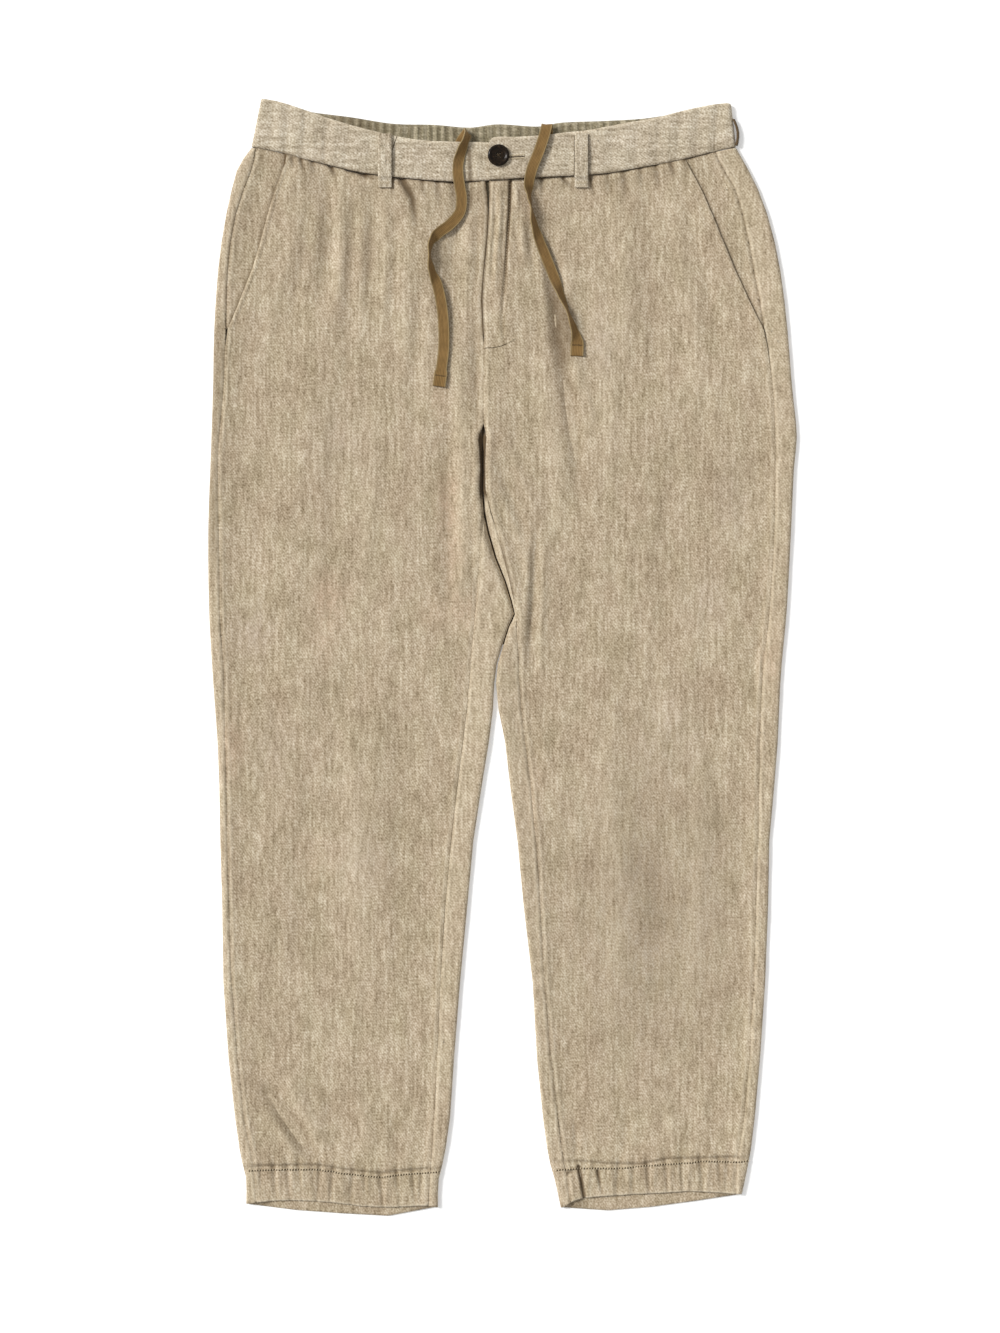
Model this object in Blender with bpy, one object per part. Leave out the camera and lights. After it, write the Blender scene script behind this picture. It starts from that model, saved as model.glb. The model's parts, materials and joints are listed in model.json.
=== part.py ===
"""Linen drawstring trousers, laid flat with the front up.

All lengths below are millimetres and are turned to metres when a mesh is made. X runs across the
garment from the centre-front line, Y is the height above the lowest point of the hems and Z the
height above the surface. "Left" is the -X side, as seen from above. The root empty moves the whole
garment so that its box is centred over the origin.
"""

import math
from collections import namedtuple

import bmesh
import bpy
import numpy as np
from mathutils import Vector

MM = 0.001

# Cloth
PANEL_WALL = 1.2        # one layer of linen
HEM_WALL = 2.0          # turned-up hem
FACING_WALL = 1.0
BAND_WALL = 2.0         # folded waistband
SEAM_GAP = 0.4          # between pieces that are sewn edge to edge
WAIST_GAP = 0.7         # along the curved waist seam
SLIT_GAP = 0.7          # more room where a seam turns down between the thighs
LAY_GAP = 0.5           # between pieces that lie on each other

# Heights of the lay
TOP_LEVEL = 2.95        # outer face of the upper layer where it lies flat
WAIST_RISE = 1.6        # the upper layer climbs to the waistband
WAIST_RUN = 28.0
HEM_RISE = 1.75         # the double hems stack higher
HEM_TOP = 46.0
HEM_RUN = 24.0
FOLD_RUN = 26.0         # a folded edge sinks to the flat over this width
ROLL_DEPTH = 0.6        # depth of a folded edge for one unit of its height
UPPER_HALF = 2.45       # what lies higher belongs to the upper layer
TOE_REACH = 1.6         # how strongly the lower half of a fold leans out under the slit
TOE_GAP = 0.3

# Waist
SIDE_TOP = 983.0        # waistband seam at both sides
WAIST_BLEND = 130.0     # rows under the band straighten over this height
HEM_BLEND = 60.0
BAND_TOP_SIDE = 6.3     # outer face of the front waistband at the sides
BAND_TOP_MIDDLE = 7.2   # and at the centre, over the tape that runs inside
BAND_RISE_RUN = 150.0
BAND_EDGE = 0.55        # rounding of the band's long edges
BAND_SLANT_LEFT = 0.042
BAND_SLANT_RIGHT = 0.020
BAND_UNDER = 13.0       # the front band turns under the side by this much
OVERLAP_START = 4.4     # end of the right band, over the left one
OVERLAP_END = 22.0      # hidden end of the left band
OVERLAP_FULL = 30.0     # the lapping end is lifted whole up to here
OVERLAP_FADE = 62.0
OVERLAP_LIFT = BAND_WALL + LAY_GAP
CORNER_RADIUS = 7.0

# Back band
GATHERS = 48
GATHER_START = -168.0
GATHER_END = 192.0
GATHER_HEIGHT = 1.1
GATHER_STATIONS = 4

# Crotch
RISE_END = 717.0        # the front seam dives into the slit here
CURL_START = 750.0      # the back seam's edges begin to curl up
CURL_ROLL = 4.4
SLIT_END = 530.0        # the two thighs part here

# Fly
FLY_FOOT = 806.0
FLY_SHIELD_LEFT = -8.0
FLY_SHIELD_RIGHT = 25.0
FLY_RAISE = 1.5
FLY_RAISE_LEFT = -22.0  # the raise begins and ends outside the shield
FLY_RAISE_RIGHT = 46.0
FLY_RUN_LEFT = 12.0
FLY_RUN_RIGHT = 16.0
FLY_RUN_FOOT = 24.0
FLY_EDGE = 4.0
FLY_CROWN = 0.7
FLY_STITCH = 21.0       # from the fly's edge to its stitch line

# Pockets
POCKET_UNDER = 12.0     # facing under the pocket's edge
POCKET_RAISE = 1.7
POCKET_LEAD = 4.0       # the raise is whole a little beyond the facing
POCKET_RUN = 26.0
POCKET_END = 782.0      # and starts here, below the mouth

# Loops, button and tape
LOOP_WIDTH = 12.5
LOOP_WALL = 1.5
LOOP_TOP = 995.0
LOOP_FOOT = 946.0
LOOP_BOW = 0.9
LOOP_X_LEFT = -91.0
LOOP_X_RIGHT = 89.5
SIDE_LOOP_TOP = 1009.0
SIDE_LOOP_FOOT = 985.0
SIDE_LOOP_BOW = 2.6
BUTTON_X = 13.4
BUTTON_Y = 974.5
BUTTON_RADIUS = 10.0
BUTTON_HEIGHT = 3.2
BUTTON_RIM = 2.2
BUTTON_DISH = 0.7
BUTTON_HOLE_RADIUS = 1.0
BUTTON_HOLE_OUT = 1.9
TAPE_WIDTH = 10.0
TAPE_WALL = 1.1
TIP_LENGTH = 13.0
TIP_WIDTH = 12.4
TIP_WALL = 2.4
TAPE_STEP = 5.5

# Outer edge of each leg: where the cloth folds under, and the side seam on the front.
Side = namedtuple("Side", "height left_fold left_seam right_fold right_seam roll")
SIDES = (
    Side(983, -214.0, -209.5, 232.0, 211.0, 6.0),
    Side(967, -225.5, -212.5, 241.0, 217.5, 5.9),
    Side(948, -231.5, -220.0, 251.0, 229.5, 5.7),
    Side(913, -239.0, -230.5, 263.5, 240.0, 5.4),
    Side(869, -245.0, -236.0, 273.0, 248.5, 5.2),
    Side(815, -248.5, -237.5, 279.5, 258.0, 5.0),
    Side(764, -249.5, -239.0, 283.5, 265.0, 5.0),
    Side(718, -251.0, -243.0, 288.0, 267.5, 5.0),
    Side(690, -252.0, -244.5, 285.5, 267.5, 5.0),
    Side(626, -254.0, -243.5, 282.5, 266.5, 5.2),
    Side(554, -253.0, -242.5, 278.5, 262.0, 5.2),
    Side(500, -250.0, -239.5, 273.5, 256.0, 5.0),
    Side(420, -244.5, -237.5, 269.5, 253.0, 4.8),
    Side(350, -243.0, -236.0, 263.0, 252.0, 4.8),
    Side(281, -241.0, -234.5, 261.5, 249.5, 4.8),
    Side(190, -239.0, -230.5, 257.5, 247.0, 4.8),
    Side(97, -230.0, -221.5, 250.0, 239.5, 5.0),
    Side(51, -223.5, -212.5, 244.5, 233.0, 5.2),
    Side(28, -219.0, -210.0, 241.5, 231.5, 5.4),
    Side(0, -219.0, -209.0, 237.5, 231.0, 5.4),
)

# Inner edge of each leg, from the end of the rise down: fold, inseam and the fold's height.
Inside = namedtuple("Inside", "height left_fold left_seam right_fold right_seam roll")
INSIDES = (
    Inside(717, -5.0, -5.6, 1.8, 2.4, 5.8),
    Inside(694, -2.8, -3.4, 0.6, 1.2, 6.3),
    Inside(665, -3.7, -4.3, 0.9, 1.9, 6.3),
    Inside(646, -0.6, -1.4, 1.6, 6.4, 6.3),
    Inside(626, 2.4, -2.5, 7.4, 13.2, 6.3),
    Inside(603, 9.2, -4.2, 14.2, 18.6, 6.3),
    Inside(580, 19.3, -6.0, 22.8, 24.6, 6.3),
    Inside(561, 25.4, -7.4, 27.2, 28.4, 6.3),
    Inside(554, 27.6, -8.0, 28.4, 29.8, 6.2),
    Inside(539, 21.0, -9.7, 21.8, 30.2, 6.0),
    Inside(523, 16.4, -11.0, 17.2, 31.3, 5.8),
    Inside(510, 12.2, -12.4, 13.0, 32.2, 5.6),
    Inside(494, 9.8, -13.8, 10.9, 32.4, 5.5),
    Inside(471, 8.8, -15.6, 12.4, 34.0, 5.4),
    Inside(442, 5.5, -19.0, 18.4, 37.5, 5.2),
    Inside(419, 1.8, -22.0, 21.2, 39.7, 5.0),
    Inside(373, -5.5, -27.5, 26.7, 46.3, 5.0),
    Inside(327, -12.0, -32.5, 33.1, 48.9, 4.8),
    Inside(281, -15.6, -36.5, 36.8, 52.3, 4.8),
    Inside(235, -20.2, -39.2, 43.2, 54.9, 4.8),
    Inside(190, -24.0, -42.0, 46.0, 57.2, 4.8),
    Inside(143, -27.6, -43.7, 48.8, 61.6, 4.8),
    Inside(97, -30.4, -45.8, 53.4, 67.3, 5.0),
    Inside(51, -37.0, -49.0, 59.8, 73.6, 5.2),
    Inside(28, -41.8, -50.5, 65.3, 77.7, 5.4),
    Inside(0, -42.3, -51.8, 70.5, 81.0, 5.4),
)

# Pocket mouths, down to the side seams.
Mouth = namedtuple("Mouth", "height left right")
MOUTHS = (
    Mouth(983, -182.8, 178.5),
    Mouth(965, -185.0, 188.5),
    Mouth(943, -193.2, 200.6),
    Mouth(911, -201.8, 214.4),
    Mouth(875, -212.0, 229.2),
    Mouth(845, -223.6, 242.6),
    Mouth(815, -235.6, 257.2),
)

# Edges of the two fronts down the centre: the right front laps over the fly.
Centre = namedtuple("Centre", "height left right")
CENTRES = (
    Centre(983, 1.2, 5.0),
    Centre(952, 1.4, 4.8),
    Centre(938, 3.0, 4.8),
    Centre(925, 3.9, 4.4),
    Centre(900, 2.9, 3.3),
    Centre(877, 0.5, 0.9),
    Centre(845, -2.0, -1.6),
    Centre(809, -0.6, -0.2),
    Centre(790, -0.2, 0.2),
    Centre(700, -0.2, 0.2),
)

# Height of edges along the garment's width.
Edge = namedtuple("Edge", "x height")
FRONT_SEAM = (
    Edge(-214, 983), Edge(-187, 978), Edge(-164, 971.5), Edge(-141, 966), Edge(-118, 960.5),
    Edge(-84, 955.5), Edge(-31, 951), Edge(5, 952), Edge(53, 955), Edge(110, 958.5),
    Edge(138, 963), Edge(185, 972), Edge(213, 979), Edge(232, 983),
)
BACK_SEAM = (
    Edge(-214, 983), Edge(-150, 974), Edge(-70, 967), Edge(20, 966), Edge(110, 969),
    Edge(180, 976), Edge(232, 983),
)
FRONT_TOP = (
    Edge(-206, 1028), Edge(-189, 1025), Edge(-164, 1017), Edge(-138, 1008), Edge(-102, 998),
    Edge(-63, 990), Edge(-31, 988), Edge(0, 988), Edge(6, 991.5), Edge(35, 992),
    Edge(80, 997), Edge(98, 999), Edge(128, 1005), Edge(158, 1010), Edge(185, 1017),
    Edge(219, 1023.5), Edge(228, 1023),
)
BACK_TOP = (
    Edge(-206, 1021), Edge(-185, 1019), Edge(-161, 1015.5), Edge(-128, 1011.5),
    Edge(-87, 1005.5), Edge(-46, 1004.5), Edge(-13, 1002), Edge(12, 1005), Edge(51, 1003),
    Edge(72, 1006.5), Edge(110, 1008), Edge(147, 1010), Edge(180, 1014), Edge(228, 1016),
)
FRONT_HEM = (
    Edge(-220, 11.0), Edge(-190, 14.0), Edge(-148, 13.0), Edge(-108, 8.5), Edge(-84, 8.0),
    Edge(-52, 9.5), Edge(-42, 8.0), Edge(70, 7.5), Edge(86, 15.0), Edge(108, 18.0),
    Edge(164, 21.0), Edge(192, 22.5), Edge(238, 20.0),
)
BACK_HEM = (
    Edge(-220, 11.0), Edge(-167, 4.5), Edge(-120, 1.5), Edge(-84, 0.0), Edge(-42, 8.0),
    Edge(70, 7.5), Edge(122, 4.6), Edge(150, 7.5), Edge(178, 11.5), Edge(206, 15.0),
    Edge(238, 20.0),
)

# Soft folds of the fronts, each a ridge from one end to the other.
Ridge = namedtuple("Ridge", "x0 y0 x1 y1 width height")
RIDGES = (
    Ridge(-171, 962, -165, 860, 9, 1.1),
    Ridge(-131, 955, -127, 790, 11, 1.5),
    Ridge(-79, 948, -74, 800, 12, 1.2),
    Ridge(-44, 935, -52, 740, 18, 0.9),
    Ridge(60, 935, 62, 700, 15, 1.1),
    Ridge(112, 945, 108, 790, 16, 1.0),
    Ridge(150, 940, 178, 720, 20, 1.0),
    Ridge(0, 775, 0, 712, 20, 1.7),
    Ridge(-60, 700, -40, 560, 20, 0.9),
    Ridge(34, 700, 58, 540, 13, 1.2),
    Ridge(-168, 640, -160, 330, 30, 0.9),
    Ridge(-96, 500, -104, 180, 24, 0.7),
    Ridge(186, 560, 172, 300, 30, 0.9),
    Ridge(110, 470, 128, 170, 24, 0.8),
    Ridge(-222, 122, -160, 58, 10, 1.6),
    Ridge(-110, 120, -95, 50, 16, 0.7),
    Ridge(150, 130, 160, 52, 18, 0.7),
)

# Rows of every panel, measured at the side.
ROWS = (
    983, 974, 962, 945, 922, 896, 870, 843, 816, 797, 773, 750, 739, 728, 717, 706, 688, 668,
    648, 628, 606, 584, 566, 554, 542, 526, 508, 490, 466, 436, 395, 345, 285, 215, 145, 90,
    62, 46, 30, 14, 0,
)

# Drawstring: the tape's middle line, its lean from flat in degrees, chosen by hand.
Lay = namedtuple("Lay", "x y z lean")
TAPE_LEFT = (
    Lay(-23.5, 982.0, 4.15, 0),
    Lay(-21.0, 988.5, 4.2, 0),
    Lay(-17.5, 993.6, 5.0, 12),
    Lay(-15.2, 996.2, 7.2, 30),
    Lay(-15.2, 993.2, 9.9, 38),
    Lay(-17.0, 988.0, 10.9, 34),
    Lay(-20.5, 979.0, 10.2, 22),
    Lay(-23.6, 968.0, 8.8, 8),
    Lay(-23.8, 958.0, 8.6, 3),
    Lay(-22.3, 947.0, 8.0, 3),
    Lay(-20.6, 936.0, 6.6, 4),
    Lay(-22.2, 923.0, 6.3, 6),
    Lay(-31.0, 912.0, 6.6, 10),
    Lay(-42.0, 903.6, 7.4, 20),
    Lay(-48.8, 895.0, 8.6, 42),
    Lay(-50.2, 883.5, 9.4, 56),
    Lay(-48.0, 869.0, 8.4, 38),
    Lay(-43.0, 856.0, 6.6, 12),
    Lay(-38.8, 836.5, 6.1, 3),
    Lay(-37.0, 816.5, 5.7, 0),
    Lay(-37.0, 798.0, 5.4, 0),
    Lay(-38.8, 782.0, 5.6, 0),
    Lay(-41.2, 764.0, 5.6, 0),
)
TAPE_RIGHT = (
    Lay(57.0, 984.0, 4.15, 0),
    Lay(58.2, 992.5, 4.15, 0),
    Lay(58.4, 999.5, 4.7, 0),
    Lay(58.0, 1003.4, 6.6, 0),
    Lay(57.2, 1000.0, 8.9, 0),
    Lay(54.9, 991.5, 10.0, 0),
    Lay(51.8, 982.0, 10.1, 0),
    Lay(48.8, 974.0, 10.4, 2),
    Lay(44.2, 962.4, 10.9, 4),
    Lay(41.2, 949.5, 10.0, 22),
    Lay(41.2, 937.5, 8.9, 48),
    Lay(43.4, 926.5, 8.9, 58),
    Lay(46.0, 912.0, 8.7, 48),
    Lay(50.8, 897.0, 7.4, 26),
    Lay(57.4, 880.5, 6.6, 12),
    Lay(64.0, 864.0, 6.5, 14),
    Lay(70.6, 847.0, 7.4, 32),
    Lay(77.0, 831.0, 8.3, 48),
    Lay(82.6, 816.0, 7.4, 32),
    Lay(85.6, 804.0, 5.9, 10),
    Lay(85.4, 792.0, 5.7, 0),
)

LINEN = (0.44, 0.36, 0.245, 1.0)
TAPE_BROWN = (0.27, 0.165, 0.075, 1.0)
HORN = (0.022, 0.012, 0.007, 1.0)


def step(t):
    """A smooth climb from 0 to 1."""
    t = min(max(t, 0.0), 1.0)
    return t * t * (3.0 - 2.0 * t)


def read(table, column, at):
    """One column of a table at a place between its rows, on a smooth curve through them."""
    keys = [row[0] for row in table]
    values = [getattr(row, column) for row in table]
    if keys[0] > keys[-1]:
        keys.reverse()
        values.reverse()
    at = min(max(at, keys[0]), keys[-1])
    k = min(max(int(np.searchsorted(keys, at)) - 1, 0), len(keys) - 2)
    slopes = []
    for end in (k, k + 1):
        low, high = max(end - 1, 0), min(end + 1, len(keys) - 1)
        slopes.append((values[high] - values[low]) / (keys[high] - keys[low]))
    span = keys[k + 1] - keys[k]
    t = (at - keys[k]) / span
    return (
        (2 * t**3 - 3 * t**2 + 1) * values[k]
        + (t**3 - 2 * t**2 + t) * span * slopes[0]
        + (3 * t**2 - 2 * t**3) * values[k + 1]
        + (t**3 - t**2) * span * slopes[1]
    )


def named(side, thing):
    return ("left_" if side < 0 else "right_") + thing


def seam_height(table, x, row, hems):
    """A panel's row at x: the rows bend to the waist seam above and to the hem below."""
    lift = read(table, "height", x) - WAIST_GAP / 2 - SIDE_TOP
    lift *= max(0.0, (row - SIDE_TOP + WAIST_BLEND) / WAIST_BLEND)
    return row + lift + read(hems, "height", x) * max(0.0, 1.0 - row / HEM_BLEND)


def ridge_height(x, y):
    """The soft folds of the fronts, summed."""
    total = 0.0
    for r in RIDGES:
        along = Vector((r.x1 - r.x0, r.y1 - r.y0))
        place = Vector((x - r.x0, y - r.y0))
        t = place.dot(along) / along.length_squared
        across = (place - along * min(max(t, 0.0), 1.0)).length / r.width
        ends = step(min(t + 0.15, 1.15 - t) / 0.35)
        total += r.height * math.exp(-across * across) * ends
    return total


def fly_height(x, y):
    """The raise over the fly shield, with a low crown between the edge and the stitches."""
    reach = step((x - FLY_RAISE_LEFT) / FLY_RUN_LEFT) * step((FLY_RAISE_RIGHT - x) / FLY_RUN_RIGHT)
    crown = max(0.0, 1.0 - ((x - FLY_EDGE - FLY_STITCH / 2) / (FLY_STITCH / 2)) ** 2)
    foot = step((y - FLY_FOOT) / FLY_RUN_FOOT + 1.0)
    return (FLY_RAISE * reach + FLY_CROWN * crown) * foot


def pocket_height(side, x, y):
    """The raise of the front over the pocket facing."""
    into = (read(MOUTHS, "left" if side < 0 else "right", y) - x) * side
    low = step((y - POCKET_END) / POCKET_RUN)
    return POCKET_RAISE * low * (1.0 - step((into - POCKET_UNDER - POCKET_LEAD) / POCKET_RUN))


def flat_height(x, y):
    """The upper layer away from the folded edges."""
    to_seam = read(FRONT_SEAM, "height", x) - y
    waist = WAIST_RISE * (1.0 - step(to_seam / WAIST_RUN))
    hem = HEM_RISE * (1.0 - step((y - HEM_TOP) / HEM_RUN))
    return TOP_LEVEL + waist + hem + ridge_height(x, y) + fly_height(x, y)


def fold_rise(distance, roll, flat):
    """What a folded edge adds to the flat at a distance in from the edge."""
    depth = roll * ROLL_DEPTH
    if distance < depth:
        turn = 1.0 - max(distance, 0.0) / depth
        return roll / 2 * (1.0 + math.sqrt(1.0 - turn * turn)) - flat
    return (roll - flat) * (1.0 - step((distance - depth) / FOLD_RUN))


def top_height(side, x, y):
    """The outer face of the upper layer, folded edges included."""
    flat = flat_height(x, y)
    outer = abs(read(SIDES, named(side, "fold"), y) - x)
    rise = fold_rise(outer, read(SIDES, "roll", y), flat)
    if y <= RISE_END:
        inner = abs(read(INSIDES, named(side, "fold"), y) - x)
        rise += fold_rise(inner, read(INSIDES, "roll", y), flat)
    return flat + rise


def front_height(side, x, y):
    return top_height(side, x, y) + pocket_height(side, x, y)


def inner_limit(side, y):
    """The front's inner edge: centre front, then the inseam."""
    if y > RISE_END:
        return read(CENTRES, "left" if side < 0 else "right", y)
    return inseam_edge(side, y)


def outer_limit(side, y):
    """The front's outer edge: pocket mouth, then the side seam."""
    seam = read(SIDES, named(side, "seam"), y) - side * SEAM_GAP / 2
    if y <= MOUTHS[-1].height:
        return seam
    mouth = read(MOUTHS, "left" if side < 0 else "right", y)
    return mouth if abs(mouth) < abs(seam) else seam


def bent_row(side, row, limit, table, hems):
    """Where a bent row meets a limit."""
    y = float(row)
    for _ in range(3):
        y = seam_height(table, limit(side, y), row, hems)
    return limit(side, y)


def front_rows(side):
    """Points of a front's outer face, row by row from the waist to the hem."""
    inner_offsets = (0.0, 0.9, 2.8, 7.0, 14.0, FLY_STITCH, 27.0)
    outer_offsets = (14.0, 5.0, 0.0)
    rows = []
    for row in ROWS:
        start = bent_row(side, row, inner_limit, FRONT_SEAM, FRONT_HEM)
        end = bent_row(side, row, outer_limit, FRONT_SEAM, FRONT_HEM)
        first = start + side * inner_offsets[-1]
        last = end - side * outer_offsets[0]
        xs = [start + side * offset for offset in inner_offsets]
        xs += [first + (last - first) * k / 7 for k in range(1, 7)]
        xs += [end - side * offset for offset in outer_offsets]
        points = []
        for x in xs:
            y = seam_height(FRONT_SEAM, x, row, FRONT_HEM)
            points.append((x, y, front_height(side, x, y)))
        rows.append(points)
    return rows


def fold_point(fold, side, roll, angle, toe):
    """A point on a folded edge, by its angle from straight out; a toe leans under a slit."""
    depth = roll * ROLL_DEPTH
    lean = TOE_REACH * toe * math.sqrt(max(0.0, -math.sin(angle)))
    x = fold + side * (lean - depth * (1.0 - math.cos(angle)))
    return x, roll / 2 * (1.0 + math.sin(angle))


def slit_toe(y):
    """How far the fold of each leg reaches under the slit between the thighs."""
    left = read(INSIDES, "left_fold", y)
    right = read(INSIDES, "right_fold", y)
    return max(0.0, (right - left) / 2 - TOE_GAP) if SLIT_END < y <= RISE_END else 0.0


def back_section(side, row):
    """Outer points of one row of a back panel, from the side seam round to the inseam."""
    fold = read(SIDES, named(side, "fold"), row)
    seam = bent_row(side, row, seam_edge, FRONT_SEAM, FRONT_HEM) + side * SEAM_GAP
    outer = wrapped(side, side, fold, seam, read(SIDES, "roll", row), 0.0, row)
    if row > CURL_START:
        middle = side * SEAM_GAP / 2
        inner = [(middle + side * offset, 0.0) for offset in (16, 12, 9, 7, 5, 3.2, 1.6, 0)]
    elif row > RISE_END:
        share = 0.15 + 0.65 * (CURL_START - row) / (CURL_START - RISE_END)
        middle = side * SEAM_GAP / 2
        inner = [
            fold_point(middle, -side, CURL_ROLL, math.pi / 2 * (share * k / 7 - 1.0), 0.0)
            for k in range(8)
        ]
    else:
        fold = read(INSIDES, named(side, "fold"), row)
        seam = bent_row(side, row, inseam_turn, FRONT_SEAM, FRONT_HEM)
        inner = wrapped(side, -side, fold, seam, read(INSIDES, "roll", row), slit_toe(row), row)
    start, end = outer[0][0], inner[0][0]
    flat = [(start + (end - start) * k / 4, 0.0) for k in (1, 2, 3)]
    points = []
    for x, z in outer[::-1] + flat + inner:
        table, hems = (FRONT_SEAM, FRONT_HEM) if z > UPPER_HALF else (BACK_SEAM, BACK_HEM)
        points.append((x, seam_height(table, x, row, hems), z))
    return points


def wrapped(panel, out, fold, seam, roll, toe, y):
    """The folded edge of a back panel: round from below, then along the top to the seam."""
    depth = roll * ROLL_DEPTH
    width = abs(seam - fold)
    if width > depth:
        angles = [-math.pi / 2 + math.pi * share for share in (0.0, 0.22, 0.42, 0.6, 0.8, 1.0)]
        points = [fold_point(fold, out, roll, angle, toe) for angle in angles]
        for share in (0.5, 1.0):
            x = fold - out * (depth + (width - depth) * share)
            points.append((x, top_height(panel, x, y)))
        return points
    sweep = math.acos(1.0 - width / depth) + math.pi / 2
    return [fold_point(fold, out, roll, -math.pi / 2 + sweep * k / 7, toe) for k in range(8)]


def back_rows(side):
    """Points of a back's outer face, row by row from the waist to the hem."""
    return [back_section(side, row) for row in ROWS]


def facing_rows(side):
    """Points of a pocket facing's outer face, from the waist to the foot of the mouth."""
    rows = []
    for row in (height for height in ROWS if height > MOUTHS[-1].height):
        outer = bent_row(side, row, seam_edge, FRONT_SEAM, FRONT_HEM)
        inner = bent_row(side, row, outer_limit, FRONT_SEAM, FRONT_HEM) - side * POCKET_UNDER
        points = []
        for share in (0.0, 0.1, 0.3, 0.6, 0.8, 1.0):
            x = outer + (inner - outer) * share
            y = seam_height(FRONT_SEAM, x, row, FRONT_HEM)
            points.append((x, y, top_height(side, x, y)))
        rows.append(points)
    return rows


def seam_edge(side, y):
    return read(SIDES, named(side, "seam"), y) - side * SEAM_GAP / 2


def inseam_edge(side, y):
    """A front's edge at the inseam, with more room where the seam stands in the slit."""
    seam = read(INSIDES, named(side, "seam"), y)
    near = 1.0 - step((abs(seam - read(INSIDES, named(side, "fold"), y)) - 4.0) / 7.0)
    return seam + side * (SEAM_GAP / 2 + SLIT_GAP * near)


def inseam_turn(side, y):
    """A back's edge at the inseam."""
    return read(INSIDES, named(side, "seam"), y) - side * SEAM_GAP / 2


def shield_rows():
    """Points of the fly shield's outer face, which lies under both fronts."""
    rows = []
    for share in (0.0, 0.15, 0.4, 0.7, 0.9, 1.0):
        points = []
        for across in (0.0, 0.25, 0.5, 0.75, 1.0):
            x = FLY_SHIELD_LEFT + (FLY_SHIELD_RIGHT - FLY_SHIELD_LEFT) * across
            head = read(FRONT_SEAM, "height", x) - WAIST_GAP / 2
            y = head + (FLY_FOOT + 4.0 - head) * share
            rise = WAIST_RISE * (1.0 - step((head - y) / WAIST_RUN))
            points.append((x, y, PANEL_WALL + LAY_GAP + FACING_WALL + rise * 0.8))
        rows.append(points)
    return rows


def band_level(side, x):
    """Outer face of a front band: higher at the centre, and higher still where it laps over."""
    middle = step(1.0 - abs(x) / BAND_RISE_RUN)
    level = BAND_TOP_SIDE + (BAND_TOP_MIDDLE - BAND_TOP_SIDE) * middle
    if side > 0:
        level += OVERLAP_LIFT * step((OVERLAP_FADE - x) / (OVERLAP_FADE - OVERLAP_FULL))
    return level


def band_path(side):
    """Outer face of a front band along its length: place, height and outward direction."""
    fold = SIDES[0].left_fold if side < 0 else SIDES[0].right_fold
    roll = BAND_TOP_SIDE
    depth = roll * ROLL_DEPTH
    start = OVERLAP_END if side < 0 else OVERLAP_START
    end = fold - side * depth
    near = [start + side * offset for offset in (0.0, 1.0, 2.6, 4.6, 7.0, 14.0)]
    spread = [near[-1] + (end - near[-1]) * k / 20 for k in range(1, 20)]
    path = [(x, band_level(side, x), 0.0, 1.0) for x in near + spread]
    for k in range(8):
        angle = math.pi / 2 - math.pi * k / 7
        x, z = fold_point(fold, side, roll, angle, 0.0)
        path.append((x, z, side * math.cos(angle), math.sin(angle)))
    path.append((fold - side * BAND_UNDER, 0.0, 0.0, -1.0))
    return path


def band_top(side, x):
    """Upper edge of a front band, with the rounded corner of the lapping end."""
    top = read(FRONT_TOP, "height", x)
    if side > 0 and x < OVERLAP_START + CORNER_RADIUS:
        top = read(FRONT_TOP, "height", OVERLAP_START + CORNER_RADIUS)
        gone = 1.0 - (x - OVERLAP_START) / CORNER_RADIUS
        top -= CORNER_RADIUS * (1.0 - math.sqrt(max(0.0, 1.0 - gone * gone)))
    return top if side > 0 or x < 0 else read(FRONT_TOP, "height", 0.0) - 1.0


def leaned(x, share):
    """X of a point on the waistband, whose ends lean inwards towards the upper edge."""
    slant = BAND_SLANT_LEFT if x < 0 else BAND_SLANT_RIGHT
    return x * (1.0 - slant * share * step((abs(x) - 20.0) / 60.0))


def band_rings(side):
    """Sections of a front band, each a flat loop with rounded edges."""
    profile = (
        (0.0, BAND_EDGE), (0.025, 0.0), (0.3, 0.0), (0.7, 0.0), (0.975, 0.0), (1.0, BAND_EDGE),
        (1.0, BAND_WALL - BAND_EDGE), (0.975, BAND_WALL), (0.025, BAND_WALL),
        (0.0, BAND_WALL - BAND_EDGE),
    )
    rings = []
    for x, z, out_x, out_z in band_path(side):
        ring = []
        table = FRONT_SEAM if z > UPPER_HALF else BACK_SEAM
        low = read(table, "height", x) + WAIST_GAP / 2
        high = band_top(side, leaned(x, 1.0))
        for share, depth in profile:
            place = leaned(x, share) - out_x * depth
            ring.append((place, low + (high - low) * share, z - out_z * depth))
        rings.append(ring)
    return rings


def gather(x):
    """The gathered ribs of the elastic back band, uneven in spacing and height."""
    span = (x - GATHER_START) / (GATHER_END - GATHER_START)
    ends = step(span / 0.06) * step((1.0 - span) / 0.06)
    phase = 2 * math.pi * (GATHERS * span + 0.35 * math.sin(17.0 * span) + 0.2 * math.sin(41 * span))
    height = GATHER_HEIGHT * (0.8 + 0.2 * math.sin(23.0 * span + 1.0))
    return ends * height * (0.5 - 0.5 * math.cos(phase))


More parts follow.
